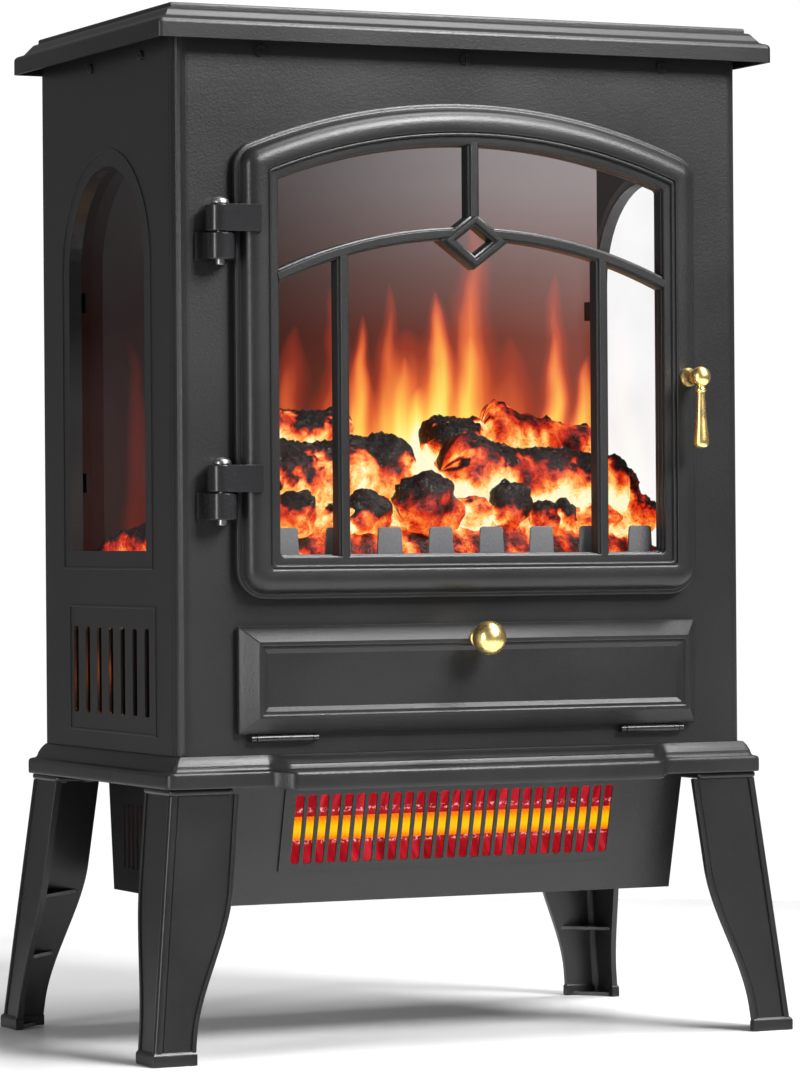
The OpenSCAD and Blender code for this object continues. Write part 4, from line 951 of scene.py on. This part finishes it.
def clearance(spot, own):
    """Distance from a spot to the nearest log or coal other than its own, in millimetres."""
    nearest = 100.0
    for k, (a, b, r0, r1, _, _) in enumerate(LOGS):
        if k == own:
            continue
        start = Vector((a[0], front_y + a[1], a[2]))
        run = Vector((b[0], front_y + b[1], b[2])) - start
        share = max(0.0, min(1.0, (spot - start).dot(run) / run.length_squared))
        nearest = min(nearest, (spot - start - run * share).length - (r0 + (r1 - r0) * share))
    for k, (x, depth, z, rx, ry, rz, _, _) in enumerate(COALS):
        if k + len(LOGS) == own:
            continue
        off = spot - Vector((x, front_y + depth, z))
        nearest = min(nearest, (Vector((off.x / rx, off.y / ry, off.z / rz)).length - 1) * min(rx, ry, rz))
    return nearest


def seam_glow(spot, own, reach=7.0):
    """How much light leaks out of the seam between a shape and its neighbours."""
    return 0.34 * math.exp(-((max(0.0, clearance(spot, own)) / reach) ** 2))


def log_shape(solid, own, around=84, along=70):
    """A crooked, split log with a crinkled crust over its glowing body."""
    start, end, r0, r1, warmth, crust = LOGS[own]
    a = Vector((start[0], front_y + start[1], start[2]))
    b = Vector((end[0], front_y + end[1], end[2]))
    axis = (b - a).normalized()
    across = axis.cross(Vector((0, 0, 1))).normalized()
    rise = across.cross(axis)
    shift = Vector((own * 37.0 + 37, own * 11.0 + 11, own * 5.0 + 5))
    caps = 9
    rings = []
    for i in range(-caps, along + caps + 1):
        s = max(0, min(along, i)) / along
        cap = max(0, -i, i - along) / caps
        shrink = max(0.03, math.sqrt(1 - cap * cap))
        r = r0 + (r1 - r0) * s
        bend = a.lerp(b, s)
        middle = bend + rise * wobble(bend + shift, 70, 4) + across * wobble(bend - shift, 70, 3)
        middle += axis * (cap * r * 0.55 * (1 if i > 0 else -1))
        ring = []
        for j in range(around):
            turn = 2 * math.pi * j / around
            out = across * math.cos(turn) + rise * math.sin(turn)
            spot = middle + out * r + shift
            edge = crust + 0.8 * noise.noise(spot / 17) + 0.5 * noise.noise(spot / 6)
            edge += 0.3 * noise.noise(spot / 2.5)
            char = smooth((out.z - edge) / 0.36 + 0.5)
            bulge = wobble(spot, 26, r * 0.2) + wobble(spot, 9, r * 0.06)
            bulge += char * (1.2 + wobble(spot, 4.5, 2.2, 3))
            place = middle + out * (r + bulge) * shrink
            ring.append(place)
            drips = 0.2 * noise.noise(Vector((spot.x / 5, spot.y / 14, spot.z / 24)))
            body = warmth + 0.24 * smooth((0.25 - out.z) / 1.0)
            body += drips - 0.14 * smooth((out.z - edge + 0.7) / 0.7)
            body += 0.45 * noise.noise(spot / 19) + seam_glow(place, own)
            solid.heat.append(body * (1 - char) + (0.1 + 0.5 * seam_glow(place, own, 3.0)) * char)
        rings.append(ring)
    solid.loft(rings)


def coal_shape(solid, own, rows=30, around=40):
    """A knobbly lump of charcoal: black on top, red and crackled in front."""
    x, depth, z, rx, ry, rz, warmth, crust = COALS[own - len(LOGS)]
    middle = Vector((x, front_y + depth, z))
    rings = []
    for i in range(rows + 1):
        lift = math.radians(-89 + 178 * i / rows)
        ring = []
        for j in range(around):
            turn = 2 * math.pi * j / around
            way = Vector((math.cos(turn) * math.cos(lift), math.sin(turn) * math.cos(lift), math.sin(lift)))
            spot = middle + way * 12 + Vector((own * 13.0, 0, own * 7.0))
            edge = crust + 0.7 * noise.noise(spot / 8) + 0.4 * noise.noise(spot / 3)
            char = smooth((way.z - edge) / 0.4 + 0.5)
            swell = 1 - 0.5 * abs(noise.noise(spot / 12)) + wobble(spot, 14, 0.28)
            swell += (0.04 + 0.1 * char) * noise.noise(spot / 2.6)
            place = middle + Vector((way.x * rx, way.y * ry, way.z * rz)) * (swell + 0.1)
            ring.append(place)
            face = warmth - 0.14 * smooth((way.z - edge + 0.6) / 0.6) + 0.3 * noise.noise(spot / 6)
            face += 0.2 * smooth(-way.z)
            seam = seam_glow(place, own, 4.0) * (1 - 0.7 * char)
            solid.heat.append(face * (1 - char) + 0.1 * char + seam)
        rings.append(ring)
    solid.loft(rings)


def ember_bed():
    """The bed that the logs lie on: a slope that glows between the lumps and is charred along its front."""
    bed = Solid()
    nx, ny = 170, 76
    base = bed_lo.z + 0.2
    rows = []
    for j in range(ny + 1):
        y = bed_lo.y + (bed_hi.y - bed_lo.y) * j / ny
        row = [(bed_lo.x, y, base)]
        for i in range(nx + 1):
            x = bed_lo.x + (bed_hi.x - bed_lo.x) * i / nx
            ends = smooth((x - bed_lo.x) / 26) * smooth((bed_hi.x - x) / 26)
            rise = 7 + 29 * smooth((y - bed_lo.y) / 40)
            spot = Vector((x, y, 0))
            lumps = wobble(spot, 17, 4.5) + wobble(spot, 6, 1.6) + wobble(spot, 2.6, 0.5)
            edge = min(1, j / 3, (ny - j) / 3)
            height = base + max(0.6, (rise + lumps) * ends * (0.25 + 0.75 * edge))
            row.append((x, y, height))
            back = smooth((y - bed_lo.y - 6) / 16)
            char = noise.noise(spot / 13 + Vector((0, 0, 4)))
            heat = 0.42 + 0.42 * back + (0.75 - 0.5 * back) * char + 0.2 * noise.noise(spot / 4)
            bed.heat.append(heat)
            if i in (0, nx):
                bed.heat.append(heat)
        row.append((bed_hi.x, y, base))
        rows.append(row)
    bed.loft(rows)
    piece("embers", bed, "cabinet", "ember_resin", ["ember_bed"], crease=180)


def fire():
    """Logs and charcoal, one casting of painted resin."""
    wood = Solid()
    for own in range(len(LOGS)):
        log_shape(wood, own)
    for own in range(len(LOGS), len(LOGS) + len(COALS)):
        coal_shape(wood, own)
    piece("burning_logs", wood, "cabinet", "log_resin", ["log_set"], crease=180)


# ---- Studio, in metres ----

FLOOR_R = 1.0
WORLD_SEEN = 1.05
WORLD_LIGHT = 0.16

def area_light(name, place, target, size, power, tall=None, spread=180):
    """A soft light aimed at a target, in metres, watts and degrees. Without tall it is square."""
    lamp = bpy.data.lights.new(name, "AREA")
    lamp.shape = "RECTANGLE"
    lamp.size = size
    lamp.size_y = tall or size
    lamp.energy = power
    lamp.spread = math.radians(spread)
    obj = link(name, lamp)
    obj.location = place
    obj.rotation_euler = (Vector(target) - Vector(place)).to_track_quat("-Z", "Y").to_euler()


def studio():
    """A pale floor, a white surround and soft lights."""
    mesh = bpy.data.meshes.new("floor")
    rim = [(x, y, 0) for x, y in arc(0, 0, FLOOR_R, 0, 357, 119)]
    mesh.from_pydata(rim, [], [tuple(range(len(rim)))])
    s = Shading("pale_floor")
    cloud = s.noise(3.0, 3.0)
    shade = s.mix(cloud, (0.94, 0.94, 0.94), (0.96, 0.96, 0.96))
    gloss = s.spread(cloud, 0.3, 0.7, 0.2, 0.26)
    mesh.materials.append(s.finish(color=shade, roughness=gloss, specular=0.2))
    link("floor", mesh)
    world = bpy.data.worlds.new("studio")
    world.use_nodes = True
    tree = world.node_tree
    background = tree.nodes["Background"]
    background.inputs["Color"].default_value = (1, 1, 1, 1)
    seen = tree.nodes.new("ShaderNodeLightPath").outputs["Is Camera Ray"]
    level = tree.nodes.new("ShaderNodeMapRange")
    level.inputs["To Min"].default_value = WORLD_LIGHT
    level.inputs["To Max"].default_value = WORLD_SEEN
    tree.links.new(seen, level.inputs["Value"])
    tree.links.new(level.outputs["Result"], background.inputs["Strength"])
    scene.world = world
    area_light("key", (0.9, -1.8, 1.9), (0.12, 0, 0.6), size=1.0, power=15, spread=56)
    area_light("edge_strip", (-2.2, -1.0, 0.5), (0, 0, 0.4), size=0.15, power=26, tall=1.6)
    sky = bpy.data.lights.new("overhead", "SUN")
    sky.energy = 2.95
    sky.angle = math.radians(28)
    down = Vector((-0.34, 0.14, -0.93))
    link("overhead", sky).rotation_euler = down.to_track_quat("-Z", "Y").to_euler()
    for name, place, radius, power in (
        ("ember_light_front", (-0.172, -0.002, 0.222), 0.008, 0.03),
        ("ember_light_middle", (-0.17, 0.04, 0.216), 0.006, 0.008),
    ):
        glow = bpy.data.lights.new(name, "POINT")
        glow.energy = power
        glow.color = (1.0, 0.22, 0.05)
        glow.shadow_soft_size = radius
        link(name, glow).location = place
    scene.view_settings.view_transform = "Standard"


def camera():
    """The camera of the picture, level with the firebox and to the left of the stove."""
    yaw, pitch, roll = 0.4392, -0.0018, -0.0072
    view = Vector((math.sin(yaw) * math.cos(pitch), math.cos(yaw) * math.cos(pitch), math.sin(pitch)))
    right = Vector((math.cos(yaw), -math.sin(yaw), 0))
    up = right.cross(view)
    right, up = right * math.cos(roll) + up * math.sin(roll), up * math.cos(roll) - right * math.sin(roll)
    data = bpy.data.cameras.new("camera")
    data.sensor_width = 36
    data.lens = 148.96
    obj = link("camera", data)
    turn = Matrix((right, up, -view)).transposed().to_4x4()
    obj.matrix_world = Matrix.Translation((-1.17249, -2.50011, 0.30167)) @ turn
    scene.camera = obj


camera()
studio()
top_cover()
base_plate()
for leg_name, leg_sx, leg_sy in (
    ("leg_front_left", -1, -1),
    ("leg_front_right", 1, -1),
    ("leg_back_left", -1, 1),
    ("leg_back_right", 1, 1),
):
    leg(leg_name, leg_sx, leg_sy)
door_frame()
door_tracery()
hinges()
handle()
flap()
flap_knob()
ember_bed()
fire()
for kept, width in (("front_panel", 0.4), ("left_side_panel", 0.3), ("right_side_panel", 0.3)):
    soften(kept, width)
for kept, width in (("heater_housing", 0.5), ("heater_grille", 0.3), ("grate_fence", 0.4)):
    soften(kept, width)
